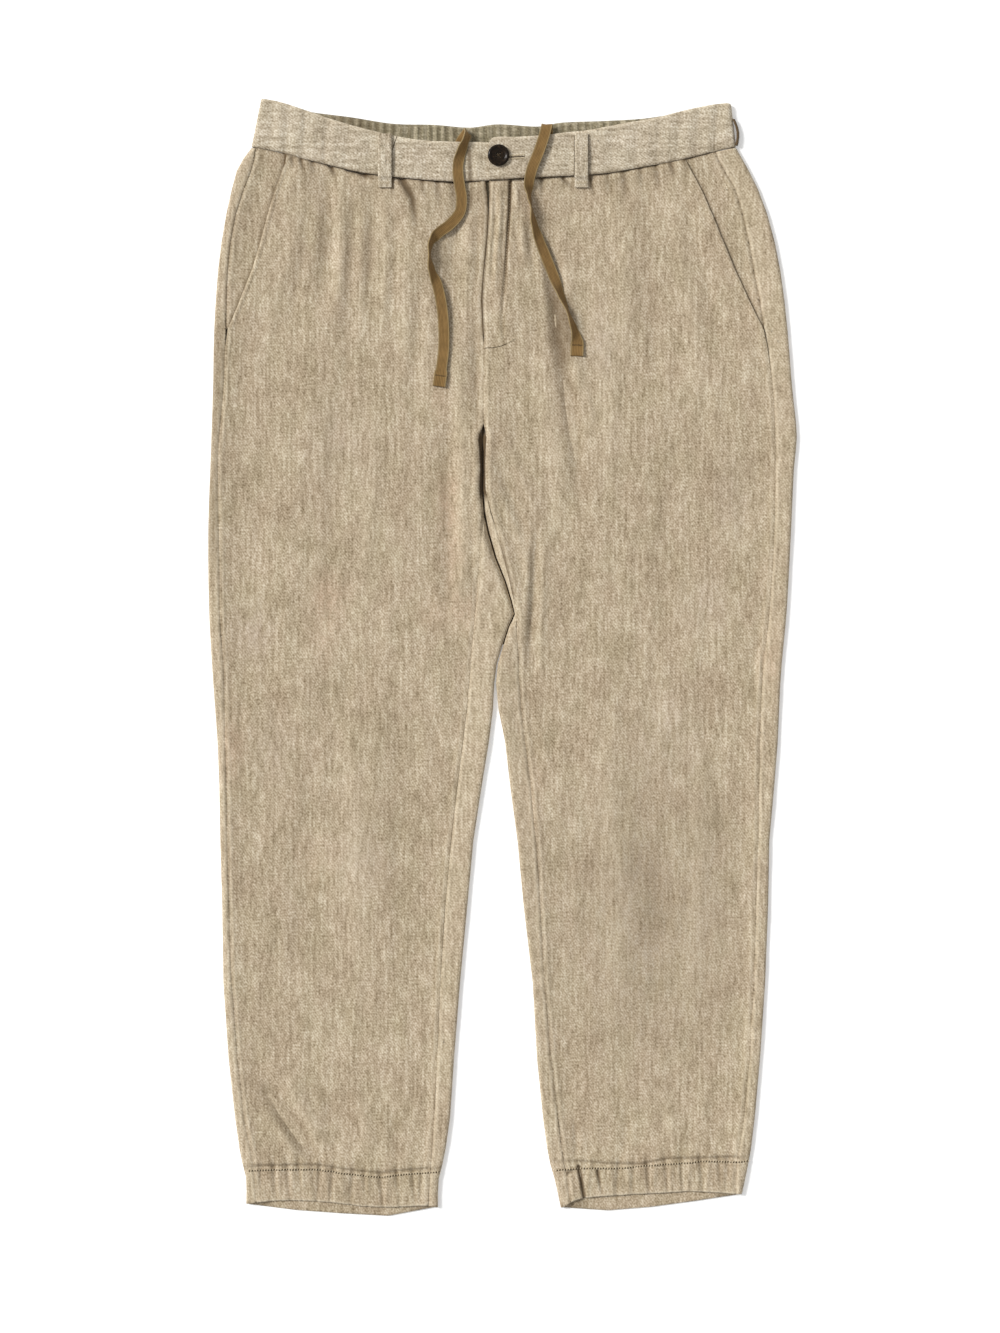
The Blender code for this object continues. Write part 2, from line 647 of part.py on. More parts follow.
def back_band_rings():
    """Sections of the back band, from its left end to its right end."""
    left = SIDES[0].left_fold + BAND_UNDER + SEAM_GAP
    right = SIDES[0].right_fold - BAND_UNDER - SEAM_GAP
    count = GATHERS * GATHER_STATIONS
    stations = [left, (left + GATHER_START) / 2]
    stations += [GATHER_START + (GATHER_END - GATHER_START) * k / count for k in range(count + 1)]
    stations += [(right + GATHER_END) / 2, right]
    rings = []
    for x in stations:
        low = read(BACK_SEAM, "height", x) + WAIST_GAP / 2
        high = read(BACK_TOP, "height", x)
        wall = BAND_WALL + gather(x)
        over = leaned(x, 1.0)
        rings.append([
            (x, low, 0.0), (over, high - 0.6, 0.0), (over, high, 1.0),
            (over, high - 1.2, wall), (x, low, BAND_WALL),
        ])
    return rings


def loop_rings(side, middle):
    """A belt loop: a strap along the band's face with both ends down."""
    rings = []
    for share in (0.0, 0.08, 0.2, 0.4, 0.6, 0.74, 0.8, 0.86, 0.93, 1.0):
        y = LOOP_TOP + (LOOP_FOOT - LOOP_TOP) * share
        lift = LOOP_BOW * math.sin(math.pi * min(share / 0.8, 1.0))
        ring = []
        floor = []
        for across in (-0.5, -0.2, 0.2, 0.5):
            x = middle + LOOP_WIDTH * across
            on_band = y > read(FRONT_SEAM, "height", x) - 1.5
            floor.append(band_level(side, x) if on_band else front_height(side, x, y))
        base = max(floor) + LAY_GAP + lift
        for across, up in ((-0.5, 0.3), (-0.4, 0.0), (0.4, 0.0), (0.5, 0.3),
                           (0.5, 0.75), (0.4, 1.0), (-0.4, 1.0), (-0.5, 0.75)):
            ring.append((middle + LOOP_WIDTH * across, y, base + LOOP_WALL * up))
        rings.append(ring)
    return rings


def side_loop_rings():
    """The side loop, standing off the folded side of the right band."""
    rings = []
    roll = BAND_TOP_SIDE
    angles = [math.radians(a) for a in (-28, -8, 12, 32, 50)]
    for share in (0.0, 0.12, 0.3, 0.5, 0.7, 0.88, 1.0):
        y = SIDE_LOOP_TOP + (SIDE_LOOP_FOOT - SIDE_LOOP_TOP) * share
        off = LAY_GAP + SIDE_LOOP_BOW * math.sin(math.pi * share)
        low = read(FRONT_SEAM, "height", SIDES[0].right_fold)
        lean = 1.0 - BAND_SLANT_RIGHT * (y - low) / (read(FRONT_TOP, "height", 228) - low)
        fold = SIDES[0].right_fold * min(lean, 1.0)
        near, far = [], []
        for angle in angles:
            x = fold - roll * ROLL_DEPTH * (1.0 - math.cos(angle))
            z = roll / 2 * (1.0 + math.sin(angle))
            near.append((x + off, y, z))
            far.append((x + off + LOOP_WALL, y, z + 0.25 * math.sin(angle)))
        rings.append(near + far[::-1])
    return rings


def tape_rings(lays):
    """A flat tape along its route: sections across the route, leaning as the tape twists."""
    route = [Vector((lay.x, lay.y, lay.z)) for lay in lays]
    points, leans = [], []
    for k in range(len(route) - 1):
        a, b = route[max(k - 1, 0)], route[k]
        c, d = route[k + 1], route[min(k + 2, len(route) - 1)]
        count = max(2, round((c - b).length / TAPE_STEP))
        for j in range(count):
            t = j / count
            points.append(0.5 * (2 * b + (c - a) * t + (2 * a - 5 * b + 4 * c - d) * t**2
                                 + (3 * b - a - 3 * c + d) * t**3))
            leans.append(lays[k].lean + (lays[k + 1].lean - lays[k].lean) * step(t))
    points.append(route[-1])
    leans.append(lays[-1].lean)
    lengths = np.cumsum([0.0] + [(q - p).length for p, q in zip(points, points[1:])])
    rings = []
    for k, point in enumerate(points):
        ahead = (points[min(k + 1, len(points) - 1)] - points[max(k - 1, 0)]).normalized()
        flat = Vector((-ahead.y, ahead.x, 0.0))
        flat = flat.normalized() if flat.length > 0.2 else Vector((1.0, 0.0, 0.0))
        if flat.x < 0:
            flat.negate()
        up = flat.cross(ahead).normalized()
        lean = math.radians(leans[k])
        across = flat * math.cos(lean) + up * math.sin(lean)
        face = up * math.cos(lean) - flat * math.sin(lean)
        tip = step((lengths[k] - lengths[-1] + TIP_LENGTH + 2.0) / 2.0)
        width = TAPE_WIDTH + (TIP_WIDTH - TAPE_WIDTH) * tip
        wall = TAPE_WALL + (TIP_WALL - TAPE_WALL) * tip
        rings.append([
            point + across * width * a + face * wall * b
            for a, b in ((-0.5, 0.0), (-0.45, -0.5), (0.45, -0.5), (0.5, 0.0), (0.45, 0.5),
                         (-0.45, 0.5))
        ])
    return rings


def material(name, colour, roughness):
    made = bpy.data.materials.new(name)
    made.use_nodes = True
    shader = made.node_tree.nodes["Principled BSDF"]
    shader.inputs["Base Color"].default_value = colour
    shader.inputs["Roughness"].default_value = roughness
    shader.inputs["Metallic"].default_value = 0.0
    return made


def finish(name, mesh, colour, roughness):
    """An object for a finished mesh, under the root, with its own material."""
    mesh.shade_smooth()
    mesh.set_sharp_from_angle(angle=math.radians(50))
    made = bpy.data.objects.new(name, mesh)
    bpy.context.scene.collection.objects.link(made)
    made.parent = root
    mesh.materials.append(material(name, colour, roughness))
    return made


def sheet(name, rows, wall, hem_wall=None):
    """A panel: a grid of its outer points, thickened inwards by a Solidify modifier."""
    shape = bmesh.new()
    grid = [[shape.verts.new(Vector(point) * MM) for point in row] for row in rows]
    for upper, lower in zip(grid, grid[1:]):
        for k in range(len(upper) - 1):
            shape.faces.new((upper[k], upper[k + 1], lower[k + 1], lower[k]))
    shape.normal_update()
    if max(shape.faces, key=lambda face: face.calc_center_median().z).normal.z < 0:
        bmesh.ops.reverse_faces(shape, faces=shape.faces[:])
    mesh = bpy.data.meshes.new(name)
    shape.to_mesh(mesh)
    shape.free()
    made = finish(name, mesh, LINEN, 0.9)
    thicken = made.modifiers.new("wall", "SOLIDIFY")
    thicken.offset = -1.0
    thicken.thickness = wall * MM
    if hem_wall:
        thicken.thickness = hem_wall * MM
        group = made.vertex_groups.new(name="wall")
        width = len(rows[0])
        for k, row in enumerate(ROWS):
            share = step((HEM_TOP + 12.0 - row) / 12.0)
            weight = (wall + (hem_wall - wall) * share) / hem_wall
            group.add(list(range(k * width, (k + 1) * width)), weight, "REPLACE")
        thicken.vertex_group = "wall"
    return made


def loft(name, rings, colour, roughness):
    """A closed solid through rings of points, with flat ends."""
    shape = bmesh.new()
    loops = [[shape.verts.new(Vector(point) * MM) for point in ring] for ring in rings]
    for one, two in zip(loops, loops[1:]):
        for k in range(len(one)):
            n = (k + 1) % len(one)
            shape.faces.new((one[k], one[n], two[n], two[k]))
    shape.faces.new(loops[0])
    shape.faces.new(loops[-1])
    bmesh.ops.recalc_face_normals(shape, faces=shape.faces[:])
    mesh = bpy.data.meshes.new(name)
    shape.to_mesh(mesh)
    shape.free()
    return finish(name, mesh, colour, roughness)


def button():
    """A dished four-hole button, turned from its profile and drilled."""
    level = band_level(1, BUTTON_X) + LAY_GAP
    profile = (
        (0.0, 0.0), (BUTTON_RADIUS - 1.6, 0.0), (BUTTON_RADIUS - 0.3, 0.9), (BUTTON_RADIUS, 1.8),
        (BUTTON_RADIUS - 0.5, 2.8), (BUTTON_RADIUS - 1.3, BUTTON_HEIGHT),
        (BUTTON_RADIUS - BUTTON_RIM, BUTTON_HEIGHT - 0.1),
        (BUTTON_RADIUS - BUTTON_RIM - 1.6, BUTTON_HEIGHT - BUTTON_DISH),
        (0.0, BUTTON_HEIGHT - BUTTON_DISH),
    )
    shape = bmesh.new()
    line = [shape.verts.new((radius * MM, 0.0, z * MM)) for radius, z in profile]
    edges = [shape.edges.new(pair) for pair in zip(line, line[1:])]
    bmesh.ops.spin(shape, geom=line + edges, cent=(0, 0, 0), axis=(0, 0, 1), steps=32,
                   angle=2 * math.pi, use_merge=True)
    bmesh.ops.remove_doubles(shape, verts=shape.verts[:], dist=1e-6)
    bmesh.ops.recalc_face_normals(shape, faces=shape.faces[:])
    bmesh.ops.translate(shape, verts=shape.verts[:],
                        vec=Vector((BUTTON_X, BUTTON_Y, level)) * MM)
    mesh = bpy.data.meshes.new("button")
    shape.to_mesh(mesh)
    shape.free()
    made = finish("button", mesh, HORN, 0.25)
    drill = bmesh.new()
    for k in range(4):
        angle = math.radians(20 + 90 * k)
        place = (BUTTON_X + BUTTON_HOLE_OUT * math.cos(angle),
                 BUTTON_Y + BUTTON_HOLE_OUT * math.sin(angle), level + BUTTON_HEIGHT / 2)
        cut = bmesh.ops.create_cone(drill, cap_ends=True, segments=10, depth=8 * MM,
                                    radius1=BUTTON_HOLE_RADIUS * MM, radius2=BUTTON_HOLE_RADIUS * MM)
        bmesh.ops.translate(drill, verts=cut["verts"], vec=Vector(place) * MM)
    holes = bpy.data.meshes.new("button_holes")
    drill.to_mesh(holes)
    drill.free()
    cutter = bpy.data.objects.new("button_holes", holes)
    bpy.context.scene.collection.objects.link(cutter)
    cutter.parent = root
    cutter.hide_render = True
    cutter.display_type = "WIRE"
    bore = made.modifiers.new("holes", "BOOLEAN")
    bore.operation = "DIFFERENCE"
    bore.object = cutter


def centre_root():
    """Moves the root so that the garment's box stands centred over the origin."""
    bpy.context.view_layer.update()
    corners = []
    for item in bpy.context.scene.objects:
        if item.type == "MESH" and not item.name.startswith("drawstring"):
            corners += [item.matrix_world @ vertex.co for vertex in item.data.vertices]
    lows = [min(c[k] for c in corners) for k in range(3)]
    highs = [max(c[k] for c in corners) for k in range(3)]
    root.location = (-(lows[0] + highs[0]) / 2, -(lows[1] + highs[1]) / 2, 0.0)
    bpy.context.view_layer.update()


for item in list(bpy.data.objects):
    bpy.data.objects.remove(item)

root = bpy.data.objects.new("trousers", None)
bpy.context.scene.collection.objects.link(root)

for sign, word in ((-1, "left"), (1, "right")):
    sheet("front_" + word, front_rows(sign), PANEL_WALL, HEM_WALL)
    sheet("back_" + word, back_rows(sign), PANEL_WALL, HEM_WALL)
    sheet("pocket_facing_" + word, facing_rows(sign), FACING_WALL)
    loft("waistband_" + word, band_rings(sign), LINEN, 0.9)
sheet("fly_shield", shield_rows(), FACING_WALL)
loft("waistband_back", back_band_rings(), LINEN, 0.9)
loft("belt_loop_left", loop_rings(-1, LOOP_X_LEFT), LINEN, 0.9)
loft("belt_loop_right", loop_rings(1, LOOP_X_RIGHT), LINEN, 0.9)
loft("belt_loop_side", side_loop_rings(), LINEN, 0.9)
button()
loft("drawstring_left", tape_rings(TAPE_LEFT), TAPE_BROWN, 0.85)
loft("drawstring_right", tape_rings(TAPE_RIGHT), TAPE_BROWN, 0.85)
centre_root()
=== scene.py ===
# %% [markdown]
# # Linen drawstring trousers, laid flat
# These trousers are two fronts and two backs of heathered linen twill, a gathered waistband with a flat
# drawstring in it, slanted pockets, a fly and turned-up hems. They lie on their back panels, on a table.
# The frame holds one rigid solid for each cut piece. This lesson puts a thin, creased cloth over each one,
# sews it, and gives it its yarn. All places are in millimetres from the middle of the garment, because a
# tailor's numbers are easier to read that way, and MM turns them into Blender's metres.

# %% Load the frame
import json
import math
import random
from collections import namedtuple

import bmesh
import bpy
import numpy as np
from mathutils import Matrix, Vector
from mathutils.bvhtree import BVHTree
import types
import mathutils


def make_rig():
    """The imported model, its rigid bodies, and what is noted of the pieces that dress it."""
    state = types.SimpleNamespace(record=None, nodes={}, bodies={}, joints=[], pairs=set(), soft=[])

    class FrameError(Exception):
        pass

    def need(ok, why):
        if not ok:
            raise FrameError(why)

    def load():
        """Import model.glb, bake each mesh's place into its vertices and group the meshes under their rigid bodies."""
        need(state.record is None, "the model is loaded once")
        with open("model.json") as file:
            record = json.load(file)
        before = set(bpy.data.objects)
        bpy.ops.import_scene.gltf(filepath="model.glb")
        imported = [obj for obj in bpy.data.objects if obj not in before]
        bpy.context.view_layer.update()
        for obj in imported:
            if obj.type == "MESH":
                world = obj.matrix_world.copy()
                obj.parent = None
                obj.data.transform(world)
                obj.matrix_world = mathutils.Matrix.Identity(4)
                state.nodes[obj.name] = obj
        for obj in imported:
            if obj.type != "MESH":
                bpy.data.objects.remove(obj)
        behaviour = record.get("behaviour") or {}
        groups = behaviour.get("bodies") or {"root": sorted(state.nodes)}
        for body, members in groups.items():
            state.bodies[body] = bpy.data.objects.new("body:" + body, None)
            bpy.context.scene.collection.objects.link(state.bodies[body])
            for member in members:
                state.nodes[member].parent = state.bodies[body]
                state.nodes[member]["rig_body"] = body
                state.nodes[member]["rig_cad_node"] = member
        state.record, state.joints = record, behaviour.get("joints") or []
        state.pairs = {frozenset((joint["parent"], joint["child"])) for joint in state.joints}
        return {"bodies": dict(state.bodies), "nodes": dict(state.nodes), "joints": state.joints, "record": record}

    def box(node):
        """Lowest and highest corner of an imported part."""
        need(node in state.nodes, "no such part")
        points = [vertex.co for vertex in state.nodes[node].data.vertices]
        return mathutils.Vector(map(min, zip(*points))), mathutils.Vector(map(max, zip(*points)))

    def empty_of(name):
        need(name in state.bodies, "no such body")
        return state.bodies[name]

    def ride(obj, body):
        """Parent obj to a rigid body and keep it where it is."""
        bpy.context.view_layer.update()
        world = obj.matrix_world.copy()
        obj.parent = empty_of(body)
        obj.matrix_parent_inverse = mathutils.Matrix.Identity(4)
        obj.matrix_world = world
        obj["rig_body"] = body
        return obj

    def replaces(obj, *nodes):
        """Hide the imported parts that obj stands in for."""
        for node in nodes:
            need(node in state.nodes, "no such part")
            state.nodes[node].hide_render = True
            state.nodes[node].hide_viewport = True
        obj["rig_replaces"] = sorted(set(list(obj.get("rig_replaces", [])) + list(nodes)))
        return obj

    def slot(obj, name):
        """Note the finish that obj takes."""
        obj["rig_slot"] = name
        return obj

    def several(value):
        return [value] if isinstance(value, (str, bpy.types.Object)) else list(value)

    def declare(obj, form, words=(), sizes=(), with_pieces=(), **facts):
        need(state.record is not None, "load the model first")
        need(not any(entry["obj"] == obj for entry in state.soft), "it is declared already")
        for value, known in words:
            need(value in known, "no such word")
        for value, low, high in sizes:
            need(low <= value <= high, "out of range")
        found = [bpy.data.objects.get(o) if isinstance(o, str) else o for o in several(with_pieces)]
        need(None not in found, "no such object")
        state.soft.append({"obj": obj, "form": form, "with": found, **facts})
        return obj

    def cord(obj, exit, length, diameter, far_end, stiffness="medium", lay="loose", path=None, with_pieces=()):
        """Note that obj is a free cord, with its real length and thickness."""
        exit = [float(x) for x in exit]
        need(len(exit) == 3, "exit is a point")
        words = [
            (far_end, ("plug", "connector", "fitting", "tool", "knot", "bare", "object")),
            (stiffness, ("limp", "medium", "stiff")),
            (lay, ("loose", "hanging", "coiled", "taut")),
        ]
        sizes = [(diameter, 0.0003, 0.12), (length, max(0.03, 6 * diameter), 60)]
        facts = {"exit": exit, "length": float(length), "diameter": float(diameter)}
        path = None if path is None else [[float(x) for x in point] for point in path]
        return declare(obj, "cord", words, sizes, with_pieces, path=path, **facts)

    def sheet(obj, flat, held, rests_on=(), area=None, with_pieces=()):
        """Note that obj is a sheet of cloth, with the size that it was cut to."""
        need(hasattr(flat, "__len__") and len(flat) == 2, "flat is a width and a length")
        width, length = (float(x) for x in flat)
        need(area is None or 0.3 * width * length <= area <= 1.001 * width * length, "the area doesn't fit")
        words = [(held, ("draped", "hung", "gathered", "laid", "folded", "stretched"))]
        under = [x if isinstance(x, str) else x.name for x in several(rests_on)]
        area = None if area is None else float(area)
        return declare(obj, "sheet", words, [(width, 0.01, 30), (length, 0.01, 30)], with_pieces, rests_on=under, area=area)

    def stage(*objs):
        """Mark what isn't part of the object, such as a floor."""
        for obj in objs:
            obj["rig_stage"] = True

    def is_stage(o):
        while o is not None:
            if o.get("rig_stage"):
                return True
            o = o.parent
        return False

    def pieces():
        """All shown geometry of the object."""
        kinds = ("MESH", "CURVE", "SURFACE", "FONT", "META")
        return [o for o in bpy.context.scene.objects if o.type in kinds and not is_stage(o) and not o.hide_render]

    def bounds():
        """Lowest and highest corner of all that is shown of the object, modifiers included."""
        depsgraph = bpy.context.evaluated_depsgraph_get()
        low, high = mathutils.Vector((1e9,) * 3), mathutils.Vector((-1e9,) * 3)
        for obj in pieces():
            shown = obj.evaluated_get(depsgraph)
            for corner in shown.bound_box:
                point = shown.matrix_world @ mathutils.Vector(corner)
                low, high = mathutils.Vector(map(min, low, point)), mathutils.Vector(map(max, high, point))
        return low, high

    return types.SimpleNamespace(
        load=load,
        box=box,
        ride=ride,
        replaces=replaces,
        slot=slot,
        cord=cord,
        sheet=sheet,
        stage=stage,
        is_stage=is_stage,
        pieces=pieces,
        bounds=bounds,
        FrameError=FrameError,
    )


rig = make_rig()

for old in list(bpy.data.objects):
    bpy.data.objects.remove(old)

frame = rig.load()
nodes = frame["nodes"]
cad_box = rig.bounds()
MM = 0.001
SIDES = ("left", "right")
OTHER = {"left": "right", "right": "left"}
OUTWARD = {"left": -1.0, "right": 1.0}
print("frame:", len(nodes), "solids,", [round(side / MM, 1) for side in cad_box[1] - cad_box[0]], "mm")

# %% Meshes and objects
def placed(name, data):
    """An object that shows this data in the scene."""
    made = bpy.data.objects.new(name, data)
    bpy.context.scene.collection.objects.link(made)
    return made


def mesh_of(name, shape):
    """A mesh made from a bmesh, which is then freed."""
    mesh = bpy.data.meshes.new(name)
    shape.to_mesh(mesh)
    shape.free()
    return mesh


# %% [markdown]
# ## Shader maths as Python
# A yarn pattern is a sum of many small waves and noises. Wired by hand that is a tangle of Math nodes, so
# one small class wraps a socket, and Python's own signs add the nodes. Any other node comes from `add`.

# %% A socket that can be added and multiplied
def plug(node, sockets):
    """Gives sockets of a node their values, or their links where the value is a wire."""
    for name, value in sockets.items():
        if isinstance(value, Wire):
            node.id_data.links.new(value.socket, node.inputs[name])
        else:
            node.inputs[name].default_value = value


class Wire:
    """One output of a shader node. Sums and products of wires add Math nodes."""

    def __init__(self, socket):
        self.socket, self.tree = socket, socket.id_data

    @staticmethod
    def add(tree, kind, settings, sockets, out=0):
        """A node of this kind: its settings first, then its sockets' values or links."""
        node = tree.nodes.new("ShaderNode" + kind)
        for name, value in settings.items():
            setattr(node, name, value)
        plug(node, sockets)
        return Wire(node.outputs[out])

    def maths(self, operation, *values, clamp=False):
        settings = {"operation": operation, "use_clamp": clamp}
        return Wire.add(self.tree, "Math", settings, dict(enumerate(values)))

    def __add__(self, other):
        return self.maths("ADD", self, other)

    def __sub__(self, other):
        return self.maths("SUBTRACT", self, other)

    def __rsub__(self, other):
        return self.maths("SUBTRACT", other, self)

    def __mul__(self, other):
        return self.maths("MULTIPLY", self, other)

    __radd__ = __add__
    __rmul__ = __mul__

    def wave(self):
        return self.maths("SINE", self)

    def held(self):
        """The value kept between 0 and 1."""
        return self.maths("ADD", self, 0.0, clamp=True)


def rgb(red, green, blue):
    """A colour given as on a screen, from 0 to 255, turned into the linear values that nodes use."""
    values = [part / 255.0 for part in (red, green, blue)]
    return (*[v / 12.92 if v <= 0.04045 else ((v + 0.055) / 1.055) ** 2.4 for v in values], 1.0)


def blend_colours(share, first, second, way="MIX"):
    """One colour over another, through a Mix node, because a Math node would turn them grey."""
    settings = {"data_type": "RGBA", "blend_type": way}
    return Wire.add(share.tree, "Mix", settings, {0: share, 6: first, 7: second}, out=2)


def ramp(share, stops):
    """The colour at a share of the way through the stops."""
    colour = Wire.add(share.tree, "ValToRGB", {}, {0: share})
    elements = colour.socket.node.color_ramp.elements
    while len(elements) < len(stops):
        elements.new(1.0)
    for element, (place, tint) in zip(elements, stops):
        element.position = place
        element.color = tint
    return colour


def bump_of(height, strength, deep):
    """Fine relief that only tilts the light: deep is its depth in millimetres."""
    return Wire.add(height.tree, "Bump", {}, {"Strength": strength, "Distance": deep * MM, "Height": height})


def new_finish(name, sockets):
    """A material, its tree and its shader, with the sockets that are the same all over."""
    made = bpy.data.materials.new(name)
    made.use_nodes = True
    shader = made.node_tree.nodes["Principled BSDF"]
    plug(shader, sockets)
    return made, made.node_tree, shader


# %% [markdown]
# ## Camera, table and light
# The garment is seen from straight above. A 70 mm lens far away keeps the legs' edges parallel. The table
# is a plain white plane. One wide sun from the upper left draws the creases, and a bright, even sky fills
# them again, so that shadows stay as soft as in a studio. The table glows a little, as a light table does,
# which keeps the shadow beside the cloth thin and pale. A view from above needs no backdrop.

# %% Camera
VIEW_HEIGHT = 1226.4
VIEW_MIDDLE = (-2.3, -8.3)
CLOTH_LEVEL = 4.0
LENS = 70.0
SENSOR = 36.0

scene = bpy.context.scene
scene.view_settings.view_transform = "Standard"
lens = bpy.data.cameras.new("camera")
lens.lens = LENS
lens.sensor_width = SENSOR
scene.camera = placed("camera", lens)
scene.camera.location = Vector((*VIEW_MIDDLE, CLOTH_LEVEL + VIEW_HEIGHT * LENS / SENSOR)) * MM
print("camera", round(scene.camera.location.z, 3), "m above the table")

# %% Table and light
TABLE_SIZE = 8.0
TABLE_WHITE = (0.93, 0.93, 0.925, 1.0)
TABLE_GLOW = 0.24
SUN_STRENGTH = 3.3
SUN_WIDTH = 18.0
SUN_TILT = (52.0, 0.0, 245.0)
SKY_STRENGTH = 0.5
SKY_WHITE = (0.985, 0.99, 1.0, 1.0)

shape = bmesh.new()
bmesh.ops.create_grid(shape, x_segments=1, y_segments=1, size=TABLE_SIZE / 2)
table = placed("table", mesh_of("table", shape))
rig.stage(table)
paint = {"Base Color": TABLE_WHITE, "Roughness": 0.9, "Emission Color": TABLE_WHITE,
         "Emission Strength": TABLE_GLOW}
table.data.materials.append(new_finish("white_table", paint)[0])

sun = bpy.data.lights.new("sun", "SUN")
sun.energy = SUN_STRENGTH
sun.angle = math.radians(SUN_WIDTH)
placed("sun", sun).rotation_euler = [math.radians(turn) for turn in SUN_TILT]
scene.world = bpy.data.worlds.new("sky")
scene.world.use_nodes = True
plug(scene.world.node_tree.nodes["Background"], {"Color": SKY_WHITE, "Strength": SKY_STRENGTH})

# %% [markdown]
# ## Linen
# The cloth is a twill: steep diagonal lines about 2.5 mm apart. Its yarns are spun from pale and dark flax,
# so every warp yarn shows as a short upright streak, lighter or darker than its neighbours, and now and
# then a thick slub. Finer noise crosses it for the weft. Broad, faint clouds and a few pinkish and lilac
# patches come from wear and washing. The pattern reads the piece's own UV map, in metres of cloth along
# and across the grain, so it follows each cut: on the waistband the grain lies on its side.

# %% Yarn noise
TWILL_PITCH = 2.5
TWILL_SLOPE = 0.7
# Each noise has a cell of so many millimetres across and along, its own shift, and its detail.
YARN_NOISES = {
    "slubs": (2.2, 12.0, 0.31, 0.5), "streaks": (2.8, 60.0, 0.77, 0.5), "grain": (1.7, 1.7, 0.97, 0.0),
    "weft": (4.5, 2.0, 1.13, 0.0), "heather": (5.0, 13.0, 1.71, 3.0), "blotch": (15.0, 27.0, 1.93, 2.0),
    "clouds": (46.0, 75.0, 2.31, 2.0), "warmth": (28.0, 44.0, 3.07, 2.0),
}


def cloth_axes(tree):
    """The two axes of the cloth map."""
    at = Wire.add(tree, "UVMap", {"uv_map": "cloth"}, {})
    u = Wire.add(tree, "SeparateXYZ", {}, {0: at})
    return u, Wire(u.socket.node.outputs[1])


def yarn_noise(u, v, across, along, shift, detail):
    """Noise about 0, stretched to cells of across by along millimetres."""
    place = {0: (u + shift) * (1.0 / (across * MM)), 1: (v - shift) * (1.0 / (along * MM))}
    at = Wire.add(u.tree, "CombineXYZ", {}, place)
    sockets = {"Vector": at, "Scale": 1.0, "Detail": detail, "Roughness": 0.55}
    return Wire.add(u.tree, "TexNoise", {"noise_dimensions": "2D"}, sockets) - 0.5


# %% Worn patches
# Each is a soft oval on the cloth: its middle, half width and half height, and how strongly it tints.
PINK_PATCHES = (
    (-160, 54, 26, 34, 0.55), (-165, 16, 22, 30, 0.4), (-37, 40, 20, 26, 0.5), (-68, 42, 22, 22, 0.35),
    (-172, -187, 26, 40, 0.35), (-249, -80, 16, 60, 0.45), (247, 0, 15, 55, 0.55), (-51, 145, 16, 46, 0.6),
    (-60, 237, 15, 30, 0.4), (-45, 90, 16, 50, 0.45), (232, 330, 16, 46, 0.25), (30, -110, 14, 60, 0.3),
)
LILAC_PATCHES = (
    (-229, 24, 22, 40, 0.55), (-213, -81, 26, 50, 0.4), (-131, -184, 34, 40, 0.4), (185, 50, 30, 40, 0.4),
    (92, 287, 22, 36, 0.5), (-150, 200, 40, 60, 0.3), (150, -60, 40, 60, 0.3), (212, 150, 24, 60, 0.35),
)
GREY_PATCHES = (
    (119, -185, 15, 24, 0.3), (136, -230, 120, 200, 0.7), (94, -20, 30, 60, 0.2), (-12, 95, 9, 70, 0.35),
)
TINTS = ((PINK_PATCHES, rgb(201, 165, 138)), (LILAC_PATCHES, rgb(194, 177, 165)),
         (GREY_PATCHES, rgb(140, 126, 110)))


def patch_share(patches, ragged):
    """How much of one tint shows: soft ovals, with ragged edges."""
    place = Wire.add(ragged.tree, "TexCoord", {}, {}, out="Object")
    total = None
    for x, y, wide, high, share in patches:
        oval = {"Vector": place, "Location": (x * MM, y * MM, 0.0), "Scale": (wide * MM, high * MM, 1.0)}
        at = Wire.add(ragged.tree, "Mapping", {"vector_type": "TEXTURE"}, oval)
        spot = Wire.add(ragged.tree, "TexGradient", {"gradient_type": "SPHERICAL"}, {"Vector": at}, out=1)
        total = spot * share if total is None else total + spot * share
    return (total * ragged).held()


# %% The linen finish
OUTSIDE = (rgb(116, 98, 72), rgb(180, 163, 137), rgb(231, 219, 196))
BAND = (rgb(122, 107, 84), rgb(187, 173, 150), rgb(238, 229, 210))
# The inner side's yarns: greyer than the outside, and darker still as painted shade for cloth that lies in shade.
INSIDE_SHADED = (rgb(84, 77, 58), rgb(139, 130, 105), rgb(190, 181, 157))
GREENER, REDDER = rgb(200, 201, 174), rgb(212, 196, 189)
WORN_AND_LIT_PALE, SHADED = rgb(222, 207, 180), rgb(96, 78, 55)


